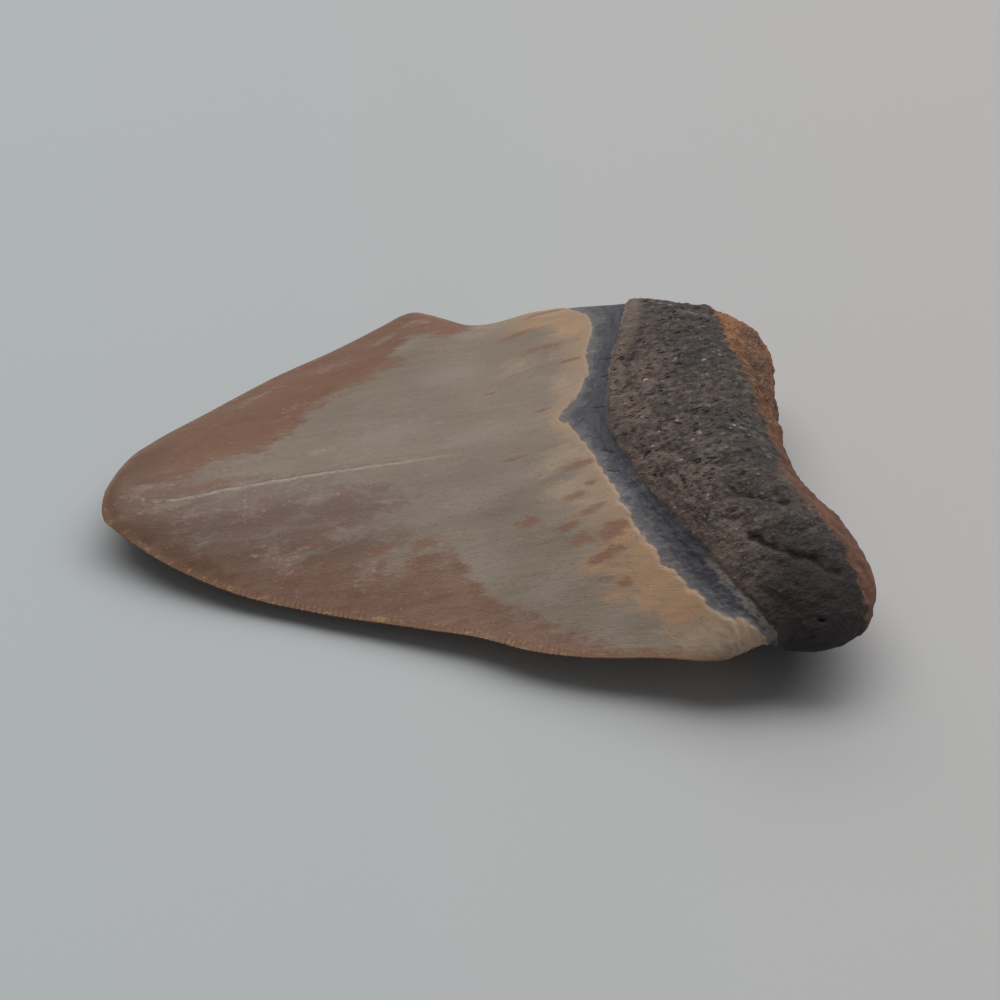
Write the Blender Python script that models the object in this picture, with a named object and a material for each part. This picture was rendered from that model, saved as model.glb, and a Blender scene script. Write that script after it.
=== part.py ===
"""A worn fossil tooth of a giant shark, one solid, lying on its outer face.

Metres, +Z up. The tooth lies along X, its point towards -X and its root towards +X, with the inner
(tongue-side) face up. The origin is under the middle of its bounding box, on the plane it rests on.
"""
import math
import random

import bmesh
import bpy
import numpy as np
from mathutils import Vector, noise

# ------------------------------------------------------------------ driving dimensions (metres)
# Plan outline, point near x = 0. The two edges run from the point to the root.
NEAR_EDGE = [                                    # (x, y): long cutting edge, shoulder, whole root lobe
    (0.0002, -0.0032), (0.0023, -0.0056), (0.0056, -0.0088), (0.0137, -0.0145), (0.0268, -0.0206),
    (0.0399, -0.0258), (0.0484, -0.0295), (0.0542, -0.0330), (0.0605, -0.0356), (0.0715, -0.0388),
    (0.0760, -0.0406), (0.0783, -0.0411), (0.0806, -0.0406), (0.0835, -0.0398), (0.0860, -0.0408),
    (0.0895, -0.0420), (0.0930, -0.0416), (0.0956, -0.0400),
]
FAR_EDGE = [                                     # (x, y): shorter cutting edge, then the old break
    (0.0004, 0.0029), (0.0015, 0.0056), (0.0040, 0.0101), (0.0072, 0.0136), (0.0145, 0.0197),
    (0.0236, 0.0264), (0.0344, 0.0322), (0.0423, 0.0367), (0.0447, 0.0381), (0.0466, 0.0384),
    (0.0488, 0.0372), (0.0535, 0.0330), (0.0570, 0.0312), (0.0620, 0.0298), (0.0680, 0.0287),
    (0.0750, 0.0266), (0.0830, 0.0242), (0.0912, 0.0196),
]
ROOT_BASE = [                                    # (y, x): arched basal edge, near lobe to far break
    (-0.0400, 0.0956), (-0.0382, 0.0976), (-0.0346, 0.0992), (-0.0310, 0.0999), (-0.0277, 0.0996),
    (-0.0211, 0.0970), (-0.0164, 0.0946), (-0.0120, 0.0932), (-0.0074, 0.0927), (0.0022, 0.0934),
    (0.0092, 0.0944), (0.0142, 0.0948), (0.0176, 0.0938), (0.0196, 0.0912),
]
BLUNT_POINT = [(-0.0032, 0.0002), (-0.0015, -0.0001), (0.0008, 0.0000), (0.0029, 0.0004)]    # (y, x)

# Heights above the resting plane, against x or (on the basal edge) against y.
POINT_HEIGHT = 0.0056
NEAR_EDGE_HEIGHT = [
    (0.0, 0.0056), (0.010, 0.0036), (0.020, 0.0024), (0.030, 0.0024), (0.040, 0.0030), (0.050, 0.0040),
    (0.060, 0.0050), (0.070, 0.0065), (0.078, 0.0080), (0.084, 0.0088), (0.096, 0.0095),
]
FAR_EDGE_HEIGHT = [
    (0.0, 0.0056), (0.010, 0.0038), (0.020, 0.0028), (0.030, 0.0028), (0.040, 0.0032), (0.050, 0.0042),
    (0.057, 0.0060), (0.065, 0.0080), (0.075, 0.0095), (0.091, 0.0100),
]
BASE_HEIGHT = [(-0.0402, 0.0095), (-0.030, 0.0095), (-0.010, 0.0100), (0.010, 0.0105), (0.019, 0.0100)]
INNER_FACE_HEIGHT = [                            # ridge of the upper face, highest over the root
    (0.0, 0.0068), (0.011, 0.0080), (0.030, 0.0102), (0.050, 0.0130), (0.065, 0.0164), (0.072, 0.0186),
    (0.078, 0.0200), (0.084, 0.0204), (0.090, 0.0196), (0.100, 0.0178),
]
OUTER_FACE_HEIGHT = [                            # keel of the under face; below 0 it is ground flat
    (0.0, 0.0044), (0.006, 0.0026), (0.012, 0.0012), (0.020, 0.0002), (0.030, -0.0003),
    (0.060, -0.0004), (0.090, -0.0002), (0.100, 0.0),
]

# Borders between the zones, in plan, (y, x).
ENAMEL_EDGE = [                                  # where the crown's enamel ends on the inner face
    (-0.0401, 0.0844), (-0.0365, 0.0788), (-0.0332, 0.0764), (-0.0289, 0.0736), (-0.0232, 0.0707),
    (-0.0167, 0.0683), (-0.0108, 0.0664), (-0.0058, 0.0645), (-0.0008, 0.0630), (0.0014, 0.0642),
    (0.0046, 0.0668), (0.0117, 0.0684), (0.0182, 0.0699), (0.0222, 0.0692), (0.0248, 0.0678),
    (0.0290, 0.0660),
]
ROOT_EDGE = [                                    # where the root begins, past the dark gum band
    (-0.0397, 0.0854), (-0.0367, 0.0827), (-0.0281, 0.0776), (-0.0186, 0.0728), (-0.0116, 0.0701),
    (-0.0048, 0.0688), (0.0020, 0.0696), (0.0099, 0.0718), (0.0147, 0.0736), (0.0216, 0.0755),
    (0.0280, 0.0765),
]
OUTER_ENAMEL_EDGE = [                            # the same border on the under face, a flatter arch
    (-0.0400, 0.0840), (-0.0300, 0.0785), (-0.0150, 0.0748), (0.0, 0.0735), (0.0150, 0.0750),
    (0.0290, 0.0780),
]
BASAL_FACE_EDGE = [                              # where the root turns down into its pale basal face
    (-0.0400, 0.0975), (-0.0326, 0.0960), (-0.0267, 0.0933), (-0.0210, 0.0903), (-0.0120, 0.0898),
    (-0.0040, 0.0894), (0.0010, 0.0876), (0.0060, 0.0867), (0.0160, 0.0862), (0.0200, 0.0850),
]
OUTER_GUM_BAND = 0.0010                          # width of the border strip on the under face

# How the faces swell from the rim. A higher power is flatter in the middle, a lower bend is rounder
# at the rim. Shares s run from the point to the root, t from the near edge (-1) to the far edge (1).
ROOT_ROUNDING = (0.72, 0.92)                     # s over which the root's rim turns from blade to round
BREAK_ROUNDING = (0.55, 0.68)                    # the same for the old break on the far side
BREAK_REACH = (0.0, 0.6)                         # t over which that rounding fades towards the middle
UPPER_POWER = (1.9, 3.2)                         # of the blade, of the round part
UNDER_POWER = (2.0, 3.0)
ROUND_BEND = 0.5                                 # 1 on the blade
NEAR_LOBE_BEND = 0.78                            # the under face of the near lobe stays fuller
NEAR_LOBE_REACH = (-0.2, 0.6)
BASE_TURN = 0.10                                 # last share of s, where the root turns down
POINT_TURN = 0.03                                # first share of s, where the point turns down
POINT_BEND = 0.6

# Cutting edges.
SERRATION_PITCH = 0.00075
SERRATION_DEPTH = 0.00036
NOTCH_SHARE = 0.8                                # of that depth, at the notches
WORN_TIP_SHARE = 0.55                            # and at the most worn tips
NOTCH_SPREAD = (0.8, 1.15)                       # uneven depth from one notch to the next
WEAR_SPACING = 0.11                              # how slowly the wear changes, per rim point
CUTTING_BAND = 0.0009                            # from the rim to the first line of the face
ROOT_BAND = 0.00035
NEAR_SERRATED = (0.015, 0.865)                   # shares of the way from point to root
FAR_SERRATED = (0.020, 0.505)

# Relief.
ENAMEL_LEDGE = 0.00042                           # step down from the enamel to the gum band
LEDGE_SPAN = (-0.0003, 0.0002)                   # distances past the enamel's edge where it steps
ENAMEL_LIP = 0.00016                             # slight swelling just before that step
LIP_PLACE = -0.0012
LIP_WIDTH = 0.0010
ROOT_STEP = 0.00034                              # step up from the gum band to the root
ROOT_SPAN = (-0.0002, 0.0007)
FLUTE_HEIGHT = 0.00014                           # long shallow flutes along the crown
FLUTE_SIZE = (0.030, 0.0035)                     # their length and breadth
FLUTE_DRAW = 4.2                                 # which of many such patterns
BREAK_START = (0.050, 0.058)                     # x and y over which the old break begins
BREAK_SIDE = (0.0240, 0.0290)
LUMP_HEIGHT = 0.00055                            # uneven root and break
LUMP_SIZE = 0.0062
SMALL_LUMPS = (0.45, 2.3)                        # height and fineness of smaller lumps on the large
SMALL_LUMPS_DRAW = (7.1, 3.3, 1.7)
BASAL_LIP = 0.00025                              # low ridge where the root turns into its basal face
BASAL_LIP_WIDTH = 0.0010
PIT_SHARE = 0.14                                 # share of the root's points that are pits
PIT_DEPTH = (0.00045, 0.00095)
PIT_MARGIN = 0.0008                              # no pits closer to the gum band
FOLD_HEIGHT = 0.00030                            # wrinkles on the near lobe
FOLD_PITCH = 0.0042
FOLD_RUN = (0.85, -0.50)                         # direction they follow each other in
LOBE_START = (-0.018, -0.026)                    # y over which the near lobe begins
KNOB = (0.0917, -0.0060, 0.0150)                 # small lump on the arch of the root
KNOB_HEIGHT = 0.0012
KNOB_SIZE = 0.0018
CREASE = ((0.0840, -0.0292), (0.0908, -0.0328))  # short deep crease across the near lobe
CREASE_DEPTH = 0.0009
CREASE_WIDTH = 0.0008

# Fineness of the solid.
UPPER_ROWS = (27, 16, 9)                         # of the crown, the root and the basal face
UPPER_COLUMNS = 46
UNDER_ROWS = (18, 8, 6)
UNDER_COLUMNS = 26
PLAIN_RIM_STEP = 0.0015
ROWS_BEFORE_LEDGE = (0.984, 0.995)               # of the way from the point to the enamel's edge
LEDGE_GAP = 0.01                                 # other rows keep this share away from them
ROW_BUNCHING = 0.08                              # smaller is closer together at the point
COLUMN_BUNCHING = 0.6                            # larger is closer together at the rims
BAND_ROWS = (0.0, 0.16, 0.5, 0.84, 1.0)          # across the gum band
LEAST_BAND = 0.004                               # smallest share of s left to the gum band
LEAST_ROOT = 0.03                                # and to the root
POINT_POINTS = 3                                 # rim points across the blunt point
SMOOTH_BELOW = 42                                # degrees; sharper corners stay crisp

# Finishes: name, colour (linear), roughness.
FINISHES = [
    ("enamel", (0.200, 0.165, 0.130, 1.0), 0.38),
    ("gum_band", (0.052, 0.058, 0.066, 1.0), 0.52),
    ("root_bone", (0.088, 0.076, 0.068, 1.0), 0.78),
    ("basal_face", (0.370, 0.170, 0.080, 1.0), 0.80),
]


# ------------------------------------------------------------------ curves and the plan of the tooth
def curve(points, at):
    """Smooth curve through (position, value) points, read at one or many positions."""
    xs, ys = np.array(points, float).T
    at = np.clip(np.asarray(at, float), xs[0], xs[-1])
    span = np.diff(xs)
    rise = np.diff(ys) / span
    inner = (rise[:-1] * span[1:] + rise[1:] * span[:-1]) / (span[1:] + span[:-1])
    slope = np.concatenate([rise[:1], inner, rise[-1:]])
    i = np.clip(np.searchsorted(xs, at) - 1, 0, len(span) - 1)
    u = (at - xs[i]) / span[i]
    start = ys[i] + u * u * (3 - 2 * u) * (ys[i + 1] - ys[i])
    return start + u * (1 - u) * span[i] * ((1 - u) * slope[i] - u * slope[i + 1])


def ease(low, high, value):
    """0 below low, 1 above high, and a smooth turn between."""
    u = np.clip((np.asarray(value, float) - low) / (high - low), 0.0, 1.0)
    return u * u * (3 - 2 * u)


def near_edge(s):
    x = NEAR_EDGE[0][0] + (NEAR_EDGE[-1][0] - NEAR_EDGE[0][0]) * np.asarray(s, float)
    return np.stack([x, curve(NEAR_EDGE, x), curve(NEAR_EDGE_HEIGHT, x)], -1)


def far_edge(s):
    x = FAR_EDGE[0][0] + (FAR_EDGE[-1][0] - FAR_EDGE[0][0]) * np.asarray(s, float)
    return np.stack([x, curve(FAR_EDGE, x), curve(FAR_EDGE_HEIGHT, x)], -1)


def point_end(w):
    y = BLUNT_POINT[0][0] + (BLUNT_POINT[-1][0] - BLUNT_POINT[0][0]) * np.asarray(w, float)
    return np.stack([curve(BLUNT_POINT, y), y, np.full_like(y, POINT_HEIGHT)], -1)


def base_end(w):
    y = ROOT_BASE[0][0] + (ROOT_BASE[-1][0] - ROOT_BASE[0][0]) * np.asarray(w, float)
    return np.stack([curve(ROOT_BASE, y), y, curve(BASE_HEIGHT, y)], -1)


def rim_sheet(s, w):
    """The sheet stretched inside the rim: s runs from point to root, w from near to far edge."""
    s3, w3 = s[..., None], w[..., None]
    sides = (1 - w3) * near_edge(s) + w3 * far_edge(s)
    ends = (1 - s3) * point_end(w) + s3 * base_end(w)
    point_corners = (1 - w3) * near_edge(0.0) + w3 * far_edge(0.0)
    base_corners = (1 - w3) * near_edge(1.0) + w3 * far_edge(1.0)
    return sides + ends - (1 - s3) * point_corners - s3 * base_corners


def face_point(s, w, upper):
    """Points of the upper or the under face: the rim sheet, swelled towards the ridge or keel."""
    sheet = rim_sheet(s, w)
    t = 2 * w - 1
    blunt = np.maximum(ease(*ROOT_ROUNDING, s), ease(*BREAK_ROUNDING, s) * ease(*BREAK_REACH, t))
    bend = 1 + (ROUND_BEND - 1) * blunt
    if upper:
        power = UPPER_POWER[0] + (UPPER_POWER[1] - UPPER_POWER[0]) * blunt
        crest = curve(INNER_FACE_HEIGHT, sheet[..., 0])
    else:
        near_side = ease(*NEAR_LOBE_REACH, -t)
        power = UNDER_POWER[0] + (UNDER_POWER[1] - UNDER_POWER[0]) * blunt * (1 - near_side)
        bend += (NEAR_LOBE_BEND - ROUND_BEND) * blunt * near_side
        crest = curve(OUTER_FACE_HEIGHT, sheet[..., 0])
    across = np.clip(1 - np.abs(t) ** power, 0, 1) ** bend
    at_base = np.sqrt(1 - np.clip((s - 1) / BASE_TURN + 1, 0, 1) ** 2)
    at_point = (1 - np.clip(1 - s / POINT_TURN, 0, 1) ** 2) ** POINT_BEND
    sheet[..., 2] += (crest - sheet[..., 2]) * across * at_base * at_point
    return sheet


# ------------------------------------------------------------------ lines of the mesh
def spread(count, bunching):
    """count + 1 shares from 0 to 1, bunched towards both ends."""
    even = np.linspace(0.0, 1.0, count + 1)
    return (1 - bunching) * even + bunching * (1 - np.cos(np.pi * even)) / 2


def share_at(border, w):
    """How far from point to root a border lies, for each w, found by halving."""
    low, high = np.full_like(w, 0.3), np.full_like(w, 0.985)
    for _ in range(30):
        middle = (low + high) / 2
        sheet = rim_sheet(middle, w)
        before = sheet[..., 0] < curve(border, sheet[..., 1])
        low, high = np.where(before, middle, low), np.where(before, high, middle)
    return (low + high) / 2


def crown_shares(rows):
    """Shares from the point to the enamel's edge, close together at the point."""
    even = np.linspace(0.0, 1.0, rows + 1)[1:]
    eased = np.hypot(even, ROW_BUNCHING) - ROW_BUNCHING
    eased /= math.hypot(1.0, ROW_BUNCHING) - ROW_BUNCHING
    return [share for share in eased if share < ROWS_BEFORE_LEDGE[0] - LEDGE_GAP] + list(ROWS_BEFORE_LEDGE)


def even_shares(rows, start, end, upper):
    """Shares of the way from one row to another, equally spaced along the middle of a face."""
    fine = np.linspace(0.0, 1.0, 400)
    path = face_point(start + fine * (end - start), np.full_like(fine, 0.5), upper)
    length = np.concatenate([[0.0], np.cumsum(np.linalg.norm(np.diff(path, axis=0), axis=1))])
    return np.interp(np.linspace(0, length[-1], rows + 1)[1:], length, fine)


def inside_rim(s, across):
    """Column places w that keep a band of constant width between the first column and the rim."""
    width = np.linalg.norm(near_edge(s) - far_edge(s), axis=-1)
    band = (CUTTING_BAND + (ROOT_BAND - CUTTING_BAND) * ease(*ROOT_ROUNDING, s)) / width
    return band + (1 - 2 * band) * across


def face_grid(upper, zone_rows, columns):
    """Points of one face inside the rim, their shares s and w, and a finish for each gap of rows."""
    crown_rows, root_rows, basal_rows = zone_rows
    across = spread(columns, COLUMN_BUNCHING)
    enamel_edge = ENAMEL_EDGE if upper else OUTER_ENAMEL_EDGE
    root_edge = ROOT_EDGE if upper else [(y, x + OUTER_GUM_BAND) for y, x in OUTER_ENAMEL_EDGE]
    enamel_s = share_at(enamel_edge, inside_rim(share_at(enamel_edge, across), across))
    root_s = share_at(root_edge, inside_rim(share_at(root_edge, across), across))
    root_s = np.maximum(root_s, enamel_s + LEAST_BAND)
    basal_s = share_at(BASAL_FACE_EDGE, inside_rim(share_at(BASAL_FACE_EDGE, across), across))
    basal_s = np.maximum(basal_s, root_s + LEAST_ROOT)

    crown = [share * enamel_s for share in crown_shares(crown_rows)]
    band = [enamel_s + share * (root_s - enamel_s) for share in BAND_ROWS]
    on_root = even_shares(root_rows, root_s.mean(), basal_s.mean(), upper)
    root = [root_s + share * (basal_s - root_s) for share in on_root]
    on_base = even_shares(basal_rows, basal_s.mean(), 1.0, upper)[:-1]
    base = [basal_s + share * (1 - basal_s) for share in on_base]
    s = np.stack(crown + band + root + base)
    w = inside_rim(s, across)
    finishes = [0] * len(crown) + [1] * (len(band) - 1) + [2] * len(root) + [3] * len(base)
    return face_point(s, w, upper), s, w, finishes


# ------------------------------------------------------------------ the rim, with its serrations
def along(edge, first, last, step):
    """Shares of an edge between first and last, a step apart along its real length."""
    fine = np.linspace(0.0, 1.0, 1200)
    length = np.concatenate([[0.0], np.cumsum(np.linalg.norm(np.diff(edge(fine), axis=0), axis=1))])
    start, end = np.interp([first, last], fine, length)
    return np.interp(np.linspace(start, end, max(2, round((end - start) / step))), length, fine)


def cutting_edge(edge, span, inward, seed):
    """Rim points of a serrated edge: every second one is a notch, and some serrations are worn."""
    dice = random.Random(seed)
    shares = along(edge, span[0], span[1], SERRATION_PITCH / 2)
    points = edge(shares)
    direction = np.gradient(points, axis=0)
    side = np.stack([-direction[:, 1], direction[:, 0], 0 * shares], -1) * inward
    side /= np.linalg.norm(side, axis=1, keepdims=True)
    for i in range(len(points)):
        worn = 0.5 + 0.5 * noise.noise(Vector((i * WEAR_SPACING, seed, 0.0)))
        share = NOTCH_SHARE if i % 2 else WORN_TIP_SHARE * worn * worn
        points[i] += side[i] * SERRATION_DEPTH * share * dice.uniform(*NOTCH_SPREAD)
    return shares, points


def rim_loop():
    """The whole rim as one loop: points, and a place along it from 0 to 4, one per side."""
    near_cut, near_points = cutting_edge(near_edge, NEAR_SERRATED, 1.0, 3)
    far_cut, far_points = cutting_edge(far_edge, FAR_SERRATED, -1.0, 8)
    near_start = along(near_edge, 0.0, NEAR_SERRATED[0], PLAIN_RIM_STEP)[:-1]
    near_end = along(near_edge, NEAR_SERRATED[1], 1.0, PLAIN_RIM_STEP)[1:]
    base = along(base_end, 0.0, 1.0, PLAIN_RIM_STEP)[1:-1]
    far_end = along(far_edge, FAR_SERRATED[1], 1.0, PLAIN_RIM_STEP)[1:]
    far_start = along(far_edge, 0.0, FAR_SERRATED[0], PLAIN_RIM_STEP)[:-1]
    point = np.linspace(0.0, 1.0, POINT_POINTS + 2)[1:-1]
    stretches = [
        (near_start, near_edge(near_start)),
        (near_cut, near_points),
        (near_end, near_edge(near_end)),
        (1 + base, base_end(base)),
        (3 - far_end[::-1], far_edge(far_end[::-1])),
        (3 - far_cut[::-1], far_points[::-1]),
        (3 - far_start[::-1], far_edge(far_start[::-1])),
        (4 - point[::-1], point_end(point[::-1])),
    ]
    return np.concatenate([p for _, p in stretches]), np.concatenate([q for q, _ in stretches])


def grid_loop(s, w):
    """The border of a face's grid as (row, column) pairs, with each one's place along the rim."""
    rows, columns = s.shape
    loop = [((i, 0), s[i, 0]) for i in range(rows)]
    loop += [((rows - 1, j), 1 + w[-1, j]) for j in range(1, columns)]
    loop += [((i, columns - 1), 3 - s[i, -1]) for i in range(rows - 2, -1, -1)]
    loop += [((0, j), 4 - w[0, j]) for j in range(columns - 2, 0, -1)]
    return loop


def stitch(bm, inner, inner_at, outer, outer_at):
    """Triangles between two loops, always stepping along the loop whose next place comes first."""
    inner_at = list(inner_at) + [inner_at[0] + 4]
    outer_at = list(outer_at) + [outer_at[0] + 4]
    strip = []
    i = k = 0
    while i < len(inner) or k < len(outer):
        here, there = inner[i % len(inner)], outer[k % len(outer)]
        step_inner = k == len(outer) or (i < len(inner) and inner_at[i + 1] < outer_at[k + 1])
        if step_inner:
            strip.append(bm.faces.new((here, there, inner[(i + 1) % len(inner)])))
            i += 1
        else:
            strip.append(bm.faces.new((here, there, outer[(k + 1) % len(outer)])))
            k += 1
    return strip


# ------------------------------------------------------------------ relief
def past(border, x, y):
    """Signed distance past a border, measured square to it."""
    step = 0.0005
    slope = (curve(border, y + step) - curve(border, y - step)) / (2 * step)
    return float((x - curve(border, y)) / math.sqrt(1 + slope * slope))


def hump(distance, size):
    return math.exp(-((distance / size) ** 2))


def lumps(place, size):
    """Uneven natural surface, about -1 to 1."""
    spot = Vector(place) / size
    height, fineness = SMALL_LUMPS
    return noise.noise(spot) + height * noise.noise(spot * fineness + Vector(SMALL_LUMPS_DRAW))


def zones(x, y, upper):
    """Distances past the enamel's edge and past the start of the root."""
    if upper:
        return past(ENAMEL_EDGE, x, y), past(ROOT_EDGE, x, y)
    edge = past(OUTER_ENAMEL_EDGE, x, y)
    return edge, edge - OUTER_GUM_BAND


def crease_depth(x, y):
    start, end = Vector(CREASE[0]), Vector(CREASE[1])
    run = end - start
    along_it = max(0.0, min(1.0, (Vector((x, y)) - start).dot(run) / run.length_squared))
    return CREASE_DEPTH * hump((Vector((x, y)) - start - run * along_it).length, CREASE_WIDTH)


def relief(place, upper, on_rim, dice):
    """Height added along the surface normal at one point."""
    x, y, _ = place
    past_enamel, past_root = zones(x, y, upper)
    root = float(ease(*ROOT_SPAN, past_root))
    ledge = float(ease(*LEDGE_SPAN, past_enamel))
    broken = float(ease(*BREAK_START, x) * ease(*BREAK_SIDE, y))
    height = ROOT_STEP * root - ENAMEL_LEDGE * ledge
    height += ENAMEL_LIP * hump(past_enamel - LIP_PLACE, LIP_WIDTH) * (1 - ledge)
    height += BASAL_LIP * hump(past(BASAL_FACE_EDGE, x, y), BASAL_LIP_WIDTH) * root
    flute = noise.noise(Vector((x / FLUTE_SIZE[0], y / FLUTE_SIZE[1], FLUTE_DRAW)))
    height += FLUTE_HEIGHT * (1 - root) * flute
    height += LUMP_HEIGHT * max(root, broken) * lumps(place, LUMP_SIZE)
    pit = dice.random() < PIT_SHARE
    depth = dice.uniform(*PIT_DEPTH)
    if pit and past_root > PIT_MARGIN and not on_rim:
        height -= depth
    if upper:
        lobe = float(ease(*LOBE_START, y)) * root
        across_folds = x * FOLD_RUN[0] + y * FOLD_RUN[1]
        height += FOLD_HEIGHT * lobe * math.sin(across_folds * math.tau / FOLD_PITCH)
        height -= crease_depth(x, y)
    height += KNOB_HEIGHT * hump((Vector(place) - Vector(KNOB)).length, KNOB_SIZE)
    return 0.0 if on_rim and past_root < 0 and not broken else height


# ------------------------------------------------------------------ building the solid
def add_face(bm, upper, rim, rim_at, zone_rows, columns):
    """One face of the tooth: its grid, and the strip that joins it to the rim."""
    points, s, w, finishes = face_grid(upper, zone_rows, columns)
    grid = [[bm.verts.new(point) for point in row] for row in points]
    for low, high, finish in zip(grid, grid[1:], finishes):
        for j in range(columns):
            bm.faces.new((low[j], high[j], high[j + 1], low[j + 1])).material_index = finish
    loop = grid_loop(s, w)
    strip = stitch(bm, [grid[i][j] for (i, j), _ in loop], [place for _, place in loop], rim, rim_at)
    for face in strip:
        face.material_index = rim_finish(face, upper)
    return [vertex for row in grid for vertex in row]


def rim_finish(face, upper):
    """Finish of a facet beside the rim, from the zone that its middle lies in."""
    x, y, _ = face.calc_center_median()
    past_enamel, past_root = zones(x, y, upper)
    if past_root < 0:
        return 1 if past_enamel > 0 else 0
    return 3 if past(BASAL_FACE_EDGE, x, y) > 0 else 2


def make_finish(name, colour, roughness):
    material = bpy.data.materials.new(name)
    material.use_nodes = True
    shader = material.node_tree.nodes["Principled BSDF"]
    shader.inputs["Base Color"].default_value = colour
    shader.inputs["Roughness"].default_value = roughness
    shader.inputs["Metallic"].default_value = 0.0
    return material


def build_tooth():
    bm = bmesh.new()
    rim_points, rim_at = rim_loop()
    rim = [bm.verts.new(point) for point in rim_points]
    upper = add_face(bm, True, rim, rim_at, UPPER_ROWS, UPPER_COLUMNS)
    under = add_face(bm, False, rim, rim_at, UNDER_ROWS, UNDER_COLUMNS)
    bmesh.ops.recalc_face_normals(bm, faces=bm.faces)
    bm.normal_update()

    dice = random.Random(21)
    moves = []
    for group, is_upper, on_rim in ((rim, True, True), (upper, True, False), (under, False, False)):
        moves += [(v, v.normal * relief(v.co, is_upper, on_rim, dice)) for v in group]
    for vertex, move in moves:
        vertex.co += move
        vertex.co.z = max(vertex.co.z, 0.0)

    corners = np.array([vertex.co for vertex in bm.verts])
    middle = (corners.min(axis=0) + corners.max(axis=0)) / 2
    bmesh.ops.translate(bm, verts=bm.verts, vec=(-middle[0], -middle[1], 0.0))

    mesh = bpy.data.meshes.new("megalodon_tooth")
    bm.to_mesh(mesh)
    bm.free()
    for name, colour, roughness in FINISHES:
        mesh.materials.append(make_finish(name, colour, roughness))
    mesh.shade_smooth()
    mesh.set_sharp_from_angle(angle=math.radians(SMOOTH_BELOW))
    tooth = bpy.data.objects.new("megalodon_tooth", mesh)
    bpy.context.scene.collection.objects.link(tooth)
    return tooth


for leftover in list(bpy.data.objects):
    bpy.data.objects.remove(leftover, do_unlink=True)
tooth = build_tooth()
tooth.data.calc_loop_triangles()
print("tooth:", len(tooth.data.vertices), "points,", len(tooth.data.loop_triangles), "triangles,",
      [round(side * 1000, 2) for side in tooth.dimensions], "mm")
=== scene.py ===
# %% [markdown]
# # A fossil tooth of a giant shark
# This lesson dresses one natural piece: a worn fossil tooth lying on its outer face. The tooth grew
# as one body, so it is one mesh here too. Its zones are the enamel of the crown, the dark gum band
# below it, the pitted bone of the root and the sandy face where the root ends.
# The solid made earlier is the fixed frame: every length below is fitted to it.

# %% Load the packed tooth
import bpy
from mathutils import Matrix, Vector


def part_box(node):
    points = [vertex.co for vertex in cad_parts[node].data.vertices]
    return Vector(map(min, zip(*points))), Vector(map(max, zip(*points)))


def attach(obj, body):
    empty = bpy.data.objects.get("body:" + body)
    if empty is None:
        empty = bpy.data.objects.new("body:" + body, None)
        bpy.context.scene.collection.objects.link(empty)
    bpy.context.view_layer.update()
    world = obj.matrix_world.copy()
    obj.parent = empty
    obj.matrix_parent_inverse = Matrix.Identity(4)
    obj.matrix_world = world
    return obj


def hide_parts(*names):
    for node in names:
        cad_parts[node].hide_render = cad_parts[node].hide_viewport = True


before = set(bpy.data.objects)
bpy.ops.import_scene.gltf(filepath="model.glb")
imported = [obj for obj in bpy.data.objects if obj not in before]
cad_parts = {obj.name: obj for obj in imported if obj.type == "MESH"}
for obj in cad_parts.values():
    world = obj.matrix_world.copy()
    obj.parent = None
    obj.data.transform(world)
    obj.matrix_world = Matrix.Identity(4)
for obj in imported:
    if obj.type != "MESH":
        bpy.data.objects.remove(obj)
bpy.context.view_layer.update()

# %% Tools of the bench
import math
import random

import bpy
import numpy as np
from mathutils import Matrix, Vector, kdtree, noise

NODE = "megalodon_tooth"
MM = 0.001
bpy.context.scene.view_settings.view_transform = "Standard"
print("lengths below are in millimetres; one of them is", MM, "m")

# %% [markdown]
# ## The shape of the tooth
# A shark's tooth is easy to describe from above: two edges run from the point to the root, and an
# arched line closes the base. Each is a list of points in millimetres that a smooth curve passes
# through, given as a carver would mark them on paper. Heights above the table are curves
# too. The sculpting brush would work as well, but curves keep every size readable and repeatable.

# %% Outline seen from above, in millimetres
NEAR_EDGE = [                                          # (x, y): cutting edge, shoulder, root lobe
    (0.2, -3.2), (2.3, -5.6), (5.6, -8.8), (13.7, -14.5), (26.8, -20.6), (39.9, -25.8), (48.4, -29.5),
    (54.2, -33.0), (60.5, -35.6), (71.5, -38.8), (76.0, -40.6), (78.3, -41.1), (80.6, -40.6),
    (83.5, -39.8), (86.0, -40.8), (89.5, -42.0), (93.0, -41.6), (95.6, -40.0),
]
FAR_EDGE = [                                           # (x, y): cutting edge, then the old break
    (0.4, 2.9), (1.5, 5.6), (4.0, 10.1), (7.2, 13.6), (14.5, 19.7), (23.6, 26.4), (34.4, 32.2),
    (42.3, 36.7), (44.7, 38.1), (46.6, 38.4), (48.8, 37.2), (53.5, 33.0), (57.0, 31.2), (62.0, 29.8),
    (68.0, 28.7), (75.0, 26.6), (83.0, 24.2), (91.2, 19.6),
]
ROOT_BASE = [                                          # (y, x): arched base, near lobe to far break
    (-40.0, 95.6), (-38.2, 97.6), (-34.6, 99.2), (-31.0, 99.9), (-27.7, 99.6), (-21.1, 97.0),
    (-16.4, 94.6), (-12.0, 93.2), (-7.4, 92.7), (2.2, 93.4), (9.2, 94.4), (14.2, 94.8), (17.6, 93.8),
    (19.6, 91.2),
]
BLUNT_POINT = [(-3.2, 0.2), (-1.5, -0.1), (0.8, 0.0), (2.9, 0.4)]                     # (y, x)
print("outline:", sum(map(len, (NEAR_EDGE, FAR_EDGE, ROOT_BASE, BLUNT_POINT))), "points set by hand")

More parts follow.
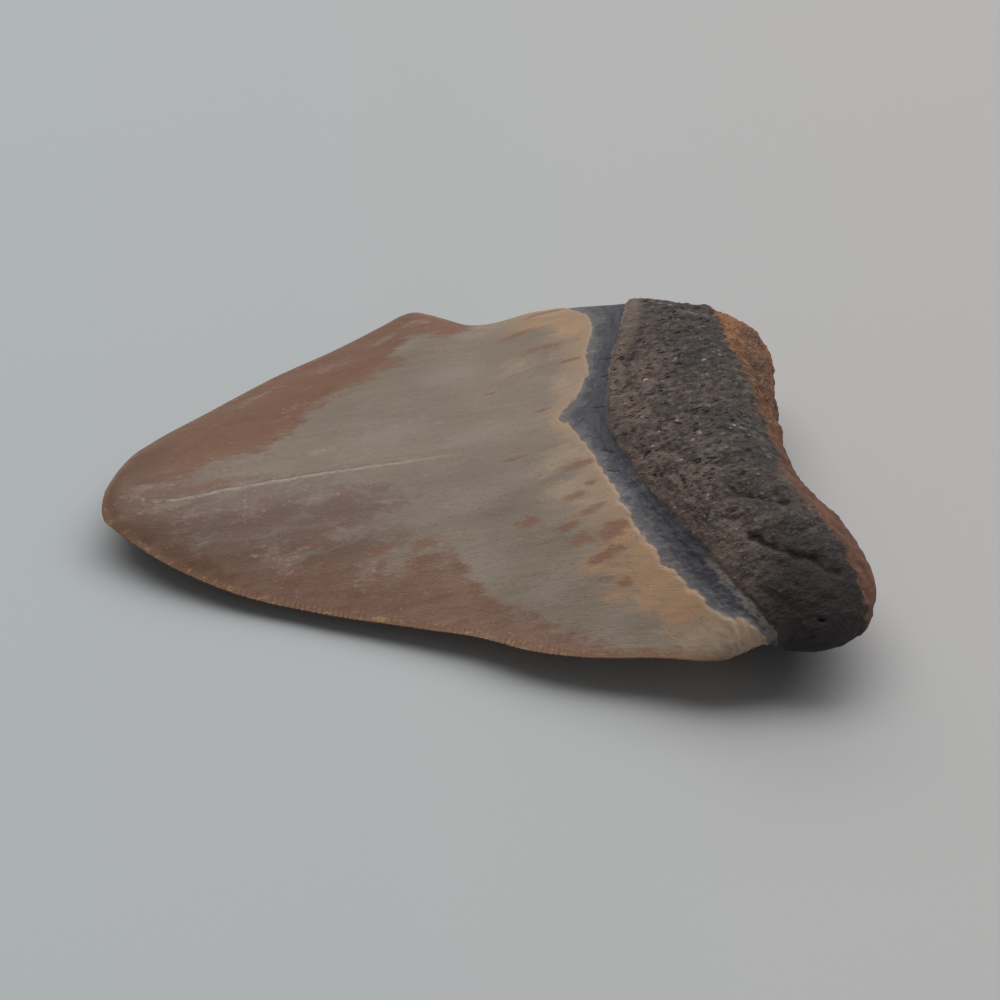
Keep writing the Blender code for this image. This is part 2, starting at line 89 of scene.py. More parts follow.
# %% Heights above the table, in millimetres
POINT_HEIGHT = 5.6
NEAR_EDGE_HEIGHT = [(0, 5.6), (10, 3.6), (20, 2.4), (30, 2.4), (40, 3.0), (50, 4.0), (60, 5.0),
                    (70, 6.5), (78, 8.0), (84, 8.8), (96, 9.5)]
FAR_EDGE_HEIGHT = [(0, 5.6), (10, 3.8), (20, 2.8), (30, 2.8), (40, 3.2), (50, 4.2), (57, 6.0),
                   (65, 8.0), (75, 9.5), (91, 10.0)]
BASE_HEIGHT = [(-40.2, 9.5), (-30, 9.5), (-10, 10.0), (10, 10.5), (19, 10.0)]
INNER_FACE_HEIGHT = [(0, 6.8), (11, 8.0), (30, 10.2), (50, 13.0), (65, 16.4), (72, 18.6), (78, 20.0),
                     (84, 20.4), (90, 19.6), (100, 17.8)]
OUTER_FACE_HEIGHT = [(0, 4.4), (6, 2.6), (12, 1.2), (20, 0.2), (30, -0.3), (60, -0.4), (90, -0.2),
                     (100, 0.0)]
print("thickest place, mm:", max(height for _, height in INNER_FACE_HEIGHT))


# %% Smooth curves through hand-placed points
def curve(points, at):
    """Smooth curve through (position, value) points, read at one or many positions."""
    xs, ys = np.array(points, float).T
    at = np.clip(np.asarray(at, float), xs[0], xs[-1])
    span = np.diff(xs)
    rise = np.diff(ys) / span
    inner = (rise[:-1] * span[1:] + rise[1:] * span[:-1]) / (span[1:] + span[:-1])
    slope = np.concatenate([rise[:1], inner, rise[-1:]])
    i = np.clip(np.searchsorted(xs, at) - 1, 0, len(span) - 1)
    u = (at - xs[i]) / span[i]
    start = ys[i] + u * u * (3 - 2 * u) * (ys[i + 1] - ys[i])
    return start + u * (1 - u) * span[i] * ((1 - u) * slope[i] - u * slope[i + 1])


def ease(low, high, value):
    """0 below low, 1 above high, and a smooth turn between."""
    u = np.clip((np.asarray(value, float) - low) / (high - low), 0.0, 1.0)
    return u * u * (3 - 2 * u)


print("height of the ridge halfway along, mm:", curve(INNER_FACE_HEIGHT, 50).round(2))

# %% [markdown]
# ## A sheet stretched inside the outline
# The four sides (two edges, point and base) span a sheet, the way a soap film spans a bent wire.
# `s` runs from the point to the base and `w` from the near edge to the far edge. The inner face is
# that sheet swelled up to a ridge, and the outer face is the same sheet swelled down to a keel. Both
# meet at the rim, sharp along the cutting edges and round along the root and the old break.


# %% The four sides and the sheet between them
def edge_line(plan, height, share):
    """Points of one long edge, for shares of the way from point to root."""
    x = plan[0][0] + (plan[-1][0] - plan[0][0]) * np.asarray(share, float)
    return np.stack([x, curve(plan, x), curve(height, x)], -1)


def end_line(plan, height, share):
    """Points of the blunt point or of the base, for shares of the way from near to far edge."""
    y = plan[0][0] + (plan[-1][0] - plan[0][0]) * np.asarray(share, float)
    return np.stack([curve(plan, y), y, curve(height, y)], -1)


def near_edge(s):
    return edge_line(NEAR_EDGE, NEAR_EDGE_HEIGHT, s)


def far_edge(s):
    return edge_line(FAR_EDGE, FAR_EDGE_HEIGHT, s)


def point_end(w):
    return end_line(BLUNT_POINT, [(-4, POINT_HEIGHT), (4, POINT_HEIGHT)], w)


def base_end(w):
    return end_line(ROOT_BASE, BASE_HEIGHT, w)


def rim_sheet(s, w):
    """The sheet that the four sides span."""
    s3, w3 = s[..., None], w[..., None]
    sides = (1 - w3) * near_edge(s) + w3 * far_edge(s)
    ends = (1 - s3) * point_end(w) + s3 * base_end(w)
    point_corners = (1 - w3) * near_edge(0.0) + w3 * far_edge(0.0)
    base_corners = (1 - w3) * near_edge(1.0) + w3 * far_edge(1.0)
    return sides + ends - (1 - s3) * point_corners - s3 * base_corners


print("width of the sheet halfway along, mm:", (far_edge(0.5) - near_edge(0.5))[1].round(1))

# %% [markdown]
# Cut across, each face swells from the rim to its ridge. How fast it leaves the rim decides whether
# the rim looks sharp or round, so the fullness changes on the way from the blade to the root. A
# subdivision surface could do this too, but it would need extra loops to keep the blade sharp.

# %% The two faces
ROOT_ROUNDING, BREAK_ROUNDING = (0.72, 0.92), (0.55, 0.68)      # s over which the rim turns round
BREAK_REACH = (0.0, 0.6)                               # t over which the break's rounding sets in
UPPER_POWER, UNDER_POWER = (1.9, 1.3), (2.0, 1.0)      # fullness behind a blade; added when round
ROUND_BEND, LOBE_BEND = 0.5, 0.28                      # steepness lost when round; kept by the lobe
LOBE_REACH = (-0.2, 0.6)                               # -t over which that lobe's under face sets in
BASE_START, BASE_TURN = 0.90, 0.10                     # last share of s, turned down to the basal face
POINT_TURN, POINT_BEND = 0.03, 0.6                     # first share of s, turned down to the point


def bluntness(s, t):
    """0 where the rim is a blade, 1 where it is round: on the root and on the old break."""
    return np.maximum(ease(*ROOT_ROUNDING, s), ease(*BREAK_ROUNDING, s) * ease(*BREAK_REACH, t))


def face_point(s, w, upper):
    """Points of the inner (upper) or outer (under) face."""
    sheet = rim_sheet(s, w)
    t = 2 * w - 1
    blunt = bluntness(s, t)
    lobe_side = 0.0 if upper else ease(*LOBE_REACH, -t)
    blade_power, round_power = UPPER_POWER if upper else UNDER_POWER
    power = blade_power + round_power * blunt * (1 - lobe_side)
    bend = 1 - ROUND_BEND * blunt + LOBE_BEND * blunt * lobe_side
    crest = curve(INNER_FACE_HEIGHT if upper else OUTER_FACE_HEIGHT, sheet[..., 0])
    across = np.clip(1 - np.abs(t) ** power, 0, 1) ** bend
    at_base = np.sqrt(1 - np.clip((s - BASE_START) / BASE_TURN, 0, 1) ** 2)
    at_point = (1 - np.clip(1 - s / POINT_TURN, 0, 1) ** 2) ** POINT_BEND
    sheet[..., 2] += (crest - sheet[..., 2]) * across * at_base * at_point
    return sheet


print("middle of the inner face, mm:", face_point(np.array(0.5), np.array(0.5), True).round(2))

# %% [markdown]
# ## Borders between the zones
# Where the enamel ends, where the root begins and where the root turns down into its basal face are
# three more curves, read as x for a given y. `share_at` finds the `s` at which a border crosses each
# column of the sheet by halving an interval, which is slow to write on paper and quick to compute.

# %% Borders, in millimetres (y, x)
ENAMEL_EDGE = [(-40.1, 84.4), (-36.5, 78.8), (-33.2, 76.4), (-28.9, 73.6), (-23.2, 70.7), (-16.7, 68.3),
               (-10.8, 66.4), (-5.8, 64.9), (-3.4, 64.1), (-2.0, 63.3), (-1.0, 62.7), (0.2, 63.4),
               (1.6, 64.6), (4.6, 66.8), (11.7, 68.4), (18.2, 69.9), (22.2, 69.2), (24.8, 67.8),
               (29.0, 66.0)]
ROOT_EDGE = [(-39.7, 85.4), (-36.7, 82.7), (-28.1, 77.6), (-18.6, 72.8), (-11.6, 70.1), (-4.8, 68.8),
             (2.0, 69.6), (9.9, 71.8), (14.7, 73.6), (21.6, 75.5), (28.0, 76.5)]
BASAL_FACE_EDGE = [(-40.0, 97.5), (-32.6, 96.0), (-26.7, 93.3), (-21.0, 90.3), (-12.0, 89.8),
                   (-4.0, 89.6), (1.0, 88.2), (6.0, 87.4), (16.0, 87.4), (20.0, 86.8)]
OUTER_ENAMEL_EDGE = [(-40.0, 84.0), (-30.0, 78.5), (-15.0, 74.8), (0.0, 73.5), (15.0, 75.0), (29.0, 78.0)]
OUTER_GUM_BAND = 1.0
SEARCHED, HALVINGS = (0.3, 0.985), 24                  # shares between which the borders lie; steps


def past(border, x, y):
    """Signed distance past a border, measured square to it."""
    step = 0.5
    slope = (curve(border, y + step) - curve(border, y - step)) / (2 * step)
    return (x - curve(border, y)) / np.sqrt(1 + slope * slope)


def share_at(border, w):
    """How far from point to root a border lies on each column."""
    low, high = (np.full_like(w, share) for share in SEARCHED)
    for _ in range(HALVINGS):
        middle = (low + high) / 2
        sheet = rim_sheet(middle, w)
        before = sheet[..., 0] < curve(border, sheet[..., 1])
        low, high = np.where(before, middle, low), np.where(before, high, middle)
    return (low + high) / 2


print("enamel ends on the middle line at, mm:", curve(ENAMEL_EDGE, 0).round(2))

# %% [markdown]
# ## A mesh that is fine where the tooth is fine
# Serrations are under a millimetre wide, so the rim gets rings of closely spaced points. The faces
# inside need fewer: rows follow the enamel's edge and the root's edge, and are closest over the
# pitted root. A zipper of triangles joins the last ring to the wider grid. A voxel remesh would be
# simpler, but it would round off the serrations and forget which zone a point belongs to.

# %% Fineness, in millimetres unless it is a count
SERRATION_PITCH = 0.75
RIM_STEP_FINE = SERRATION_PITCH / 6
RIM_STEP_PLAIN = 0.30
NEAR_FINE = (0.02, 0.865)                              # shares of each edge that are serrated
FAR_FINE = (0.03, 0.505)
UPPER_RINGS = (0.08, 0.19, 0.33, 0.49, 0.66, 0.83, 1.0)
UNDER_RINGS = (0.12, 0.33, 0.62, 1.0)
BLADE_BAND = 1.45                                      # depth of the last ring behind a blade
ROUND_BAND = 0.45                                      # and behind a round rim
POINT_GAP, BASE_GAP = 0.0040, 0.0016                   # the same at the two ends, as shares
GRID_DEPTH = 1.25                                      # where the grid begins, in rings' depths
UPPER_COUNTS = {"crown": (96, 16), "band": 20, "root": 104, "base": 34, "columns": 230}
UNDER_COUNTS = {"crown": (54, 5), "band": 3, "root": 28, "base": 18, "columns": 92}
FINE_CROWN = 0.95                                      # share of the crown after which rows are finer
EVEN_COLUMNS, CROWDED_COLUMNS = 0.55, 0.45             # shares spread evenly and crowded at the edges
EVEN_BASE, CROWDED_BASE = 0.3, 0.7                     # the same for rows where the base turns down
THINNEST_BAND, THINNEST_ROOT = 0.004, 0.03             # least shares between the borders
print("points along the rim every", RIM_STEP_FINE, "or", RIM_STEP_PLAIN, "mm")


# %% Places on the rim: one loop, counted 0 to 4, one for each side
def evenly(line, first, last, step):
    """Shares of a line between first and last, a step apart along its real length."""
    fine = np.linspace(0.0, 1.0, 1500)
    length = np.concatenate([[0.0], np.cumsum(np.linalg.norm(np.diff(line(fine), axis=0), axis=1))])
    start, end = np.interp([first, last], fine, length)
    count = max(2, int(round((end - start) / step)))
    return np.interp(np.linspace(start, end, count + 1)[:-1], length, fine)


def edge_places(line, serrated):
    """Shares along a long edge, close together where it is serrated."""
    return np.concatenate([evenly(line, 0, serrated[0], RIM_STEP_PLAIN),
                           evenly(line, *serrated, RIM_STEP_FINE),
                           evenly(line, serrated[1], 1, RIM_STEP_PLAIN)])


near, far = edge_places(near_edge, NEAR_FINE), edge_places(far_edge, FAR_FINE)
base = evenly(base_end, 0, 1, RIM_STEP_PLAIN)
point = evenly(point_end, 0, 1, RIM_STEP_PLAIN)
rim_s = np.concatenate([near, np.ones_like(base), np.append(far, 1.0)[:0:-1], np.zeros_like(point)])
rim_w = np.concatenate([np.zeros_like(near), base, np.ones_like(far), np.append(point, 1.0)[:0:-1]])
rim_place = np.concatenate([near, 1 + base, 3 - np.append(far, 1.0)[:0:-1],
                            4 - np.append(point, 1.0)[:0:-1]])
print("rim:", len(rim_place), "points")

# %% [markdown]
# Just behind the rim the points lie on rings that copy its shape, so the serrations stay crisp. A
# grid of rows and columns fills the rest. Its rows are drawn along the borders of the zones, because
# a step or a change of colour looks clean only where a row of points runs along it.


# %% Rings and grid, as shares of the sheet
def inset(s, w, depth):
    """Shares moved in from the rim: evenly behind a blade, closer and closer at a round rim."""
    s = POINT_GAP * depth ** 2 + (1 - (POINT_GAP + BASE_GAP) * depth ** 2) * s
    width = np.linalg.norm(near_edge(s) - far_edge(s), axis=-1)
    blade, rounded = BLADE_BAND * depth, ROUND_BAND * depth ** 2
    near_gap = (blade + (rounded - blade) * bluntness(s, -1.0)) / width
    far_gap = (blade + (rounded - blade) * bluntness(s, 1.0)) / width
    return s, near_gap + (1 - near_gap - far_gap) * w


def grid_rows(upper, counts):
    """Rows by zone: from the point to the enamel's edge, the gum band, the root, the basal face."""
    even = np.linspace(0.0, 1.0, counts["columns"] + 1)
    across = EVEN_COLUMNS * even + CROWDED_COLUMNS * (1 - np.cos(np.pi * even)) / 2
    enamel_s = share_at(ENAMEL_EDGE if upper else OUTER_ENAMEL_EDGE, across)
    root_edge = ROOT_EDGE if upper else [(y, x + OUTER_GUM_BAND) for y, x in OUTER_ENAMEL_EDGE]
    root_s = np.maximum(share_at(root_edge, across), enamel_s + THINNEST_BAND)
    basal_s = np.maximum(share_at(BASAL_FACE_EDGE, across), root_s + THINNEST_ROOT)
    coarse, fine = counts["crown"]
    crown = np.append(np.linspace(0, FINE_CROWN, coarse + 1), np.linspace(FINE_CROWN, 1.0, fine + 1)[1:])
    band = np.linspace(0, 1, counts["band"] + 1)[1:]
    root = np.linspace(0, 1, counts["root"] + 1)[1:]
    angle = np.linspace(0, math.pi / 2, counts["base"] + 1)[1:]
    basal = EVEN_BASE * np.linspace(0, 1, counts["base"] + 1)[1:] + CROWDED_BASE * np.sin(angle)
    rows = [share * enamel_s for share in crown]
    rows += [enamel_s + share * (root_s - enamel_s) for share in band]
    rows += [root_s + share * (basal_s - root_s) for share in root]
    rows += [basal_s + share * (1 - basal_s) for share in basal]
    return np.stack(rows), np.broadcast_to(across, (len(rows), len(across)))


print("grid of the inner face:", " x ".join(map(str, grid_rows(True, UPPER_COUNTS)[0].shape)), "points")


# %% Two helpers that weave points into faces
def grid_border(s, w, first):
    """The outer points of a grid as indices, with each one's place along the rim."""
    rows, columns = s.shape
    index = first + np.arange(rows * columns).reshape(rows, columns)
    order = np.concatenate([index[:, 0], index[-1, 1:], index[-2::-1, -1], index[0, -2:0:-1]])
    place = np.concatenate([s[:, 0], 1 + w[-1, 1:], 3 - s[-2::-1, -1], 4 - w[0, -2:0:-1]])
    return order, place


def zip_loops(inner, inner_place, outer, outer_place):
    """Triangles between two loops, always stepping where the next place comes first."""
    faces = []
    inner_place = np.append(inner_place, inner_place[0] + 4)
    outer_place = np.append(outer_place, outer_place[0] + 4)
    i = k = 0
    while i < len(inner) or k < len(outer):
        here, there = inner[i % len(inner)], outer[k % len(outer)]
        if k == len(outer) or (i < len(inner) and inner_place[i + 1] < outer_place[k + 1]):
            faces.append((here, there, inner[(i + 1) % len(inner)]))
            i += 1
        else:
            faces.append((here, there, outer[(k + 1) % len(outer)]))
            k += 1
    return faces


print("between two loops of two points:", zip_loops([0, 1], [0, 2], [2, 3], [0, 1]))

# %% Weave both faces from the same rim
shares = [np.stack([rim_s, rim_w, np.zeros_like(rim_s)], -1)]
places = [face_point(rim_s, rim_w, True)]
faces = []
for upper, rings, counts in ((True, UPPER_RINGS, UPPER_COUNTS), (False, UNDER_RINGS, UNDER_COUNTS)):
    side = 1.0 if upper else -1.0
    outer = np.arange(len(rim_s))
    for depth in rings:
        s, w = inset(rim_s, rim_w, depth)
        inner = sum(map(len, places)) + np.arange(len(s))
        shares.append(np.stack([s, w, np.full_like(s, side)], -1))
        places.append(face_point(s, w, upper))
        ring = np.stack([outer, np.roll(outer, -1), np.roll(inner, -1), inner], -1)
        faces += (ring if upper else ring[:, ::-1]).tolist()
        outer = inner
    row_s, row_w = grid_rows(upper, counts)
    first = sum(map(len, places))
    border, border_place = grid_border(row_s, row_w, first)
    s, w = inset(row_s, row_w, GRID_DEPTH)
    shares.append(np.stack([s, w, np.full_like(s, side)], -1).reshape(-1, 3))
    places.append(face_point(s, w, upper).reshape(-1, 3))
    index = first + np.arange(s.size).reshape(s.shape)
    cells = np.stack([index[:-1, :-1], index[1:, :-1], index[1:, 1:], index[:-1, 1:]], -1).reshape(-1, 4)
    faces += (cells if upper else cells[:, ::-1]).tolist()
    zipper = zip_loops(border, border_place, outer, rim_place)
    faces += zipper if upper else [face[::-1] for face in zipper]
shares, places = np.concatenate(shares), np.concatenate(places)
share, across, side = shares.T
print("woven:", len(places), "points,", len(faces), "faces")

# %% [markdown]
# ## What each point knows
# Before carving, every point learns where it stands: how far past each border, how deep behind the
# rim, and how far along the cutting edge. These numbers, or fields, steer the relief now and the
# colours later, so that a ledge and the colour that ends on it always agree.

# %% Natural noise at many points
FINER_FADE, FINER_STEP = 0.7, 2.1                      # how each finer layer of noise fades and shrinks
SEED_SHIFT = 17.3                                      # seeds read the noise at places this far apart


def speckle(points, size, seed=0.0, octaves=1):
    """Smooth noise from about -1 to 1, for features of a size in millimetres (one, or one per axis)."""
    spots = (points / np.asarray(size, float) + seed * SEED_SHIFT).tolist()
    if octaves == 1:
        return np.array([noise.noise(spot) for spot in spots])
    return np.array([noise.fractal(spot, FINER_FADE, FINER_STEP, octaves) for spot in spots])


print("noise of 2 mm at the first points:", speckle(places[:5], 2.0).round(2))

# %% Distance behind the rim, and distance along it
rim = places[:len(rim_s)]
finder = kdtree.KDTree(len(rim))
for i, spot in enumerate(rim):
    finder.insert(spot, i)
finder.balance()
nearest = np.array([finder.find(spot)[1] for spot in places])
run = np.concatenate([[0.0], np.cumsum(np.linalg.norm(np.diff(rim, axis=0), axis=1))])
ahead = np.roll(rim, -1, axis=0) - np.roll(rim, 1, axis=0)
ahead /= np.linalg.norm(ahead, axis=1, keepdims=True)
offset = places - rim[nearest]
edge_run = run[nearest] + np.einsum("ij,ij->i", offset, ahead[nearest])
behind_rim = np.linalg.norm(offset, axis=1)
inward = np.stack([-ahead[:, 1], ahead[:, 0], 0 * ahead[:, 0]], -1)[nearest]
print("rim is", run[-1].round(1), "mm long; deepest point behind it:", behind_rim.max().round(1), "mm")

# %% Distance past each border, with a natural wobble
WOBBLES = ((0.32, 2.4, 1), (0.40, 1.1, 2), (0.22, 0.55, 16))          # (height, size, seed) in mm
ROOT_CALM, BASAL_RAGGED = 0.6, 1.2                     # the wobble's share at two of the borders
BREAK_START, BREAK_WIDTH = (50, 58), (0.90, 0.99)      # where x and t reach the old break
x, y, z = places.T
wobble = sum(height * speckle(places, size, seed) for height, size, seed in WOBBLES)
upper_enamel, upper_root = past(ENAMEL_EDGE, x, y), past(ROOT_EDGE, x, y)
under_enamel = past(OUTER_ENAMEL_EDGE, x, y)
under = ease(0.0, 3.0, behind_rim) * (side < 0)
past_enamel = upper_enamel + (under_enamel - upper_enamel) * under + wobble
past_root = upper_root + (under_enamel - OUTER_GUM_BAND - upper_root) * under + ROOT_CALM * wobble
past_basal = past(BASAL_FACE_EDGE, x, y) + BASAL_RAGGED * wobble
on_root = ease(-0.25, 0.6, past_root)
past_ledge = ease(-0.5, 0.25, past_enamel)
broken = ease(*BREAK_START, x) * ease(*BREAK_WIDTH, 2 * across - 1) * ease(0.4, -0.4, side)
print("points on the root:", np.count_nonzero(on_root > 0.5))
print("points on the old break:", np.count_nonzero(broken > 0.5))

# %% [markdown]
# ## Serrations
# The cutting edges of this shark carry fine even teeth, about three in two millimetres. Each is a
# short ridge on both faces, with a narrow groove beside it that also notches the rim. They are worn
# near the point and towards the shoulders, so their depth follows a curve along each edge.

# %% Serration grooves
NEAR_WEAR = [(0.0, 0.0), (0.06, 0.1), (0.13, 0.9), (0.40, 1.0), (0.58, 0.8), (0.70, 0.4), (0.84, 0.15),
             (0.90, 0.0), (1.0, 0.0)]
FAR_WEAR = [(0.0, 0.0), (0.08, 0.3), (0.20, 0.6), (0.40, 0.5), (0.48, 0.15), (0.52, 0.0), (1.0, 0.0)]
NOTCH_DEPTH = 0.13
GROOVE_DEPTH = 0.06
GROOVE_LENGTH = 1.35
GROOVE_WIDTH = 0.14                                    # as a share of the pitch
STEADY_DEPTH, UNEVEN_DEPTH = 0.75, 0.6                 # shares of the depth that stay and that change
UNEVEN_BEAT = 0.5                                      # how far a serration strays, in pitches
near_half = across < 0.5
wear = np.where(near_half, curve(NEAR_WEAR, share), curve(FAR_WEAR, share))
run_only = np.stack([edge_run, 0 * x, 0 * x], -1)
wear *= STEADY_DEPTH + UNEVEN_DEPTH * speckle(run_only, 3.1, 5) + UNEVEN_DEPTH * speckle(run_only, 0.9, 15)
beat = edge_run / SERRATION_PITCH + UNEVEN_BEAT * speckle(run_only, 2.7, 6)
from_groove = np.abs(beat - np.round(beat))
groove = np.exp(-(from_groove / GROOVE_WIDTH) ** 2) * wear
groove *= 1 - ease(0.55, 1.0, behind_rim / GROOVE_LENGTH)
print("deepest notch, mm:", (NOTCH_DEPTH * groove).max().round(2))

# %% [markdown]
# ## Relief
# Fossil bone is never smooth. The root gets lumps of several sizes, hundreds of small pits where
# blood vessels entered, a few folds and creases, and a sandy basal face. The enamel stays calm, with
# long shallow flutes, a swollen lip at its edge and wrinkles at the shoulder. All of it is moved
# along the surface normal, as real carving is.

# %% Heights of the relief, in millimetres
ENAMEL_LEDGE = 0.20
ENAMEL_LIP = 0.02
ROOT_STEP = 0.32
BASAL_LIP = 0.20
FLUTES, FINE_FLUTES = 0.10, 0.03
LARGE_LUMPS, MEDIUM_LUMPS, SMALL_LUMPS = 0.42, 0.31, 0.10
LOBE_SMOOTHER = 0.07                                   # less of the small lumps on the near lobe
LOBE_CALM = 0.55                                       # and this share less of the larger ones
BAND_HOLLOW, BAND_GRAIN = 0.20, 0.025
LOBE_FOLDS, SHOULDER_WRINKLES = 0.24, 0.08
WRINKLE_PITCH = 1.35
SHOULDER = (81.0, -38.0)                               # middle of the wrinkled patch
CREASE_VALLEY, VALLEY_WIDTH = 0.45, 4.5                # shares of a crease's own depth and width
CRACK_DEPTH, CRACK_WIDTH = 0.10, 0.20
CURDS, FINE_CURDS = 0.26, 0.12
CREASES = [                                            # (depth, half width, [(x, y), ...])
    (0.48, 0.42, [(83.6, -28.9), (86.8, -31.0), (88.9, -32.3), (91.2, -32.9)]),
    (0.36, 0.36, [(81.8, -20.6), (83.2, -22.4), (84.8, -23.0), (86.5, -23.8), (88.9, -24.6)]),
    (0.30, 0.42, [(90.4, -29.0), (93.0, -27.1)]),
    (0.30, 0.26, [(80.4, -16.8), (81.7, -17.6), (82.8, -17.1)]),
    (0.34, 0.44, [(91.2, -33.4), (92.3, -34.5), (94.3, -34.7)]),
]
CRACKS = [                                             # fine cracks across the gum band
    [(67.4, -0.4), (68.6, -0.8)], [(69.8, 9.1), (71.4, 8.4)], [(67.4, -8.9), (68.4, -9.8)],
    [(69.4, 5.4), (70.2, 5.1)], [(67.6, -12.6), (68.4, -13.0)],
]
KNOB = (91.7, -6.0, 15.0)                              # small lump on the arch of the root
KNOB_HEIGHT, KNOB_SIZE = 1.2, 1.8
print("placed by hand:", len(CREASES), "creases,", len(CRACKS), "cracks and a knob")


# %% Distance from a drawn line, and a soft hump
def line_distance(line, x, y):
    """Distance in plan from a line of short straight pieces."""
    nearest_piece = np.full_like(x, 1e3)
    for (x0, y0), (x1, y1) in zip(line, line[1:]):
        dx, dy = x1 - x0, y1 - y0
        along = np.clip(((x - x0) * dx + (y - y0) * dy) / (dx * dx + dy * dy), 0, 1)
        nearest_piece = np.minimum(nearest_piece, np.hypot(x - x0 - along * dx, y - y0 - along * dy))
    return nearest_piece


def hump(distance, size):
    """1 on the spot, fading to 0 within about two sizes."""
    return np.exp(-(distance / size) ** 2)


print("a hump of size 1 at 0, 1 and 2 mm:", hump(np.arange(3), 1.0).round(2))

# %% Steps, flutes and lumps
crown = 1 - on_root
rough = np.maximum(on_root, broken)
lobe = ease(-18, -26, y) * on_root * (side > 0)
relief = ROOT_STEP * on_root - ENAMEL_LEDGE * past_ledge
relief += ENAMEL_LIP * hump(past_enamel + 1.2, 1.0) * (1 - past_ledge)
flutes = FLUTES * speckle(places, (30, 3.5, 30), 3) + FINE_FLUTES * speckle(places, (14, 1.1, 14), 4)
relief += crown * flutes
lobe_calm = 1 - LOBE_CALM * ease(-20, -30, y)
relief += rough * lobe_calm * LARGE_LUMPS * speckle(places, 5.8, 7)
relief += rough * lobe_calm * MEDIUM_LUMPS * speckle(places, (2.4, 1.9, 2.1), 8, 3)
relief += on_root * (SMALL_LUMPS - LOBE_SMOOTHER * lobe) * speckle(places, (0.95, 0.8, 0.9), 17, 2)
print("highest lump, mm:", relief.max().round(2))

# %% Hollow and grain of the gum band
band_share = np.clip(past_enamel / np.maximum(past_enamel - past_root, 0.2), 0, 1)
relief -= BAND_HOLLOW * np.sin(math.pi * band_share) * (1 - on_root)
along_band = np.stack([band_share * 4, y * 0.12, z * 0.12], -1)
relief += BAND_GRAIN * speckle(along_band, 1.0, 9) * past_ledge * crown
print("points in the gum band:", np.count_nonzero((band_share > 0) & (band_share < 1)))

# %% Folds of the near lobe and wrinkles of the shoulder
along_folds = np.stack([x * 0.30 + y * 0.45, x * 0.15 - y * 0.05, 0 * x], -1)
relief += LOBE_FOLDS * lobe * speckle(along_folds, 1.1, 10)
from_shoulder = np.hypot((x - SHOULDER[0]) / 1.6, (y - SHOULDER[1]) / 1.1)
shoulder = ease(4.0, 1.5, from_shoulder) * (1 - past_ledge)
wrinkles = np.sin((x + 0.55 * y) * math.tau / WRINKLE_PITCH + 4.0 * speckle(places, 2.4, 11))
relief += SHOULDER_WRINKLES * shoulder * wrinkles
print("points with wrinkles:", np.count_nonzero(shoulder))

# %% [markdown]
# Creases and cracks are few and each one shows, so they are drawn as short lines. A crease is a dark
# slit in the bottom of a wide soft valley. A crack is a fine straight cut, and its side of the line
# is kept too, so that the colour can be drawn finer than the mesh.

# %% Creases, cracks and the knob
dark_crease = np.zeros_like(x)
for depth, width, line in CREASES:
    ragged = np.maximum(line_distance(line, x, y) + 0.5 * speckle(places, 1.6, 12, 2), 0)
    dark_crease = np.maximum(dark_crease, hump(ragged, width) * depth * (side >= 0))
    relief -= CREASE_VALLEY * depth * hump(ragged, VALLEY_WIDTH * width) * on_root * (side >= 0)
relief -= dark_crease
crack_side, crack_near = np.full_like(x, 9.0), np.full_like(x, 9.0)
for start, end in CRACKS:
    run_x, run_y = np.subtract(end, start) / math.dist(start, end)
    sideways = (x - start[0]) * run_y - (y - start[1]) * run_x
    distance = line_distance([start, end], x, y)
    crack_side = np.where(distance < crack_near, sideways, crack_side)
    crack_near = np.minimum(crack_near, distance)
crack_here = ease(0.6, 0.1, np.sqrt(np.maximum(crack_near ** 2 - crack_side ** 2, 0))) * (side >= 0)
relief -= CRACK_DEPTH * hump(crack_side, CRACK_WIDTH) * crack_here
relief += KNOB_HEIGHT * hump(np.linalg.norm(places - KNOB, axis=1), KNOB_SIZE)
print("deepest crease, mm:", dark_crease.max().round(2))

# %% Lip and curds of the basal face
basal = ease(-0.3, 0.5, past_basal) * on_root
relief += BASAL_LIP * hump(past_basal, 1.1) * on_root
sandy = 0.25 + 0.75 * ease(-12, 4, y)
relief += basal * sandy * (CURDS * speckle(places, 1.5, 13, 2) + FINE_CURDS * speckle(places, 0.7, 14))
print("points on the basal face:", np.count_nonzero(basal > 0.5))

# %% [markdown]
# ## Pits
# Blood vessels left small oval openings all over the root. They are scattered by dice with a fixed
# seed, so that each run gives the same pits. One in five falls on the under face, and few on the
# lobe, which is smoother. Cutting them out as holes would take far more points.

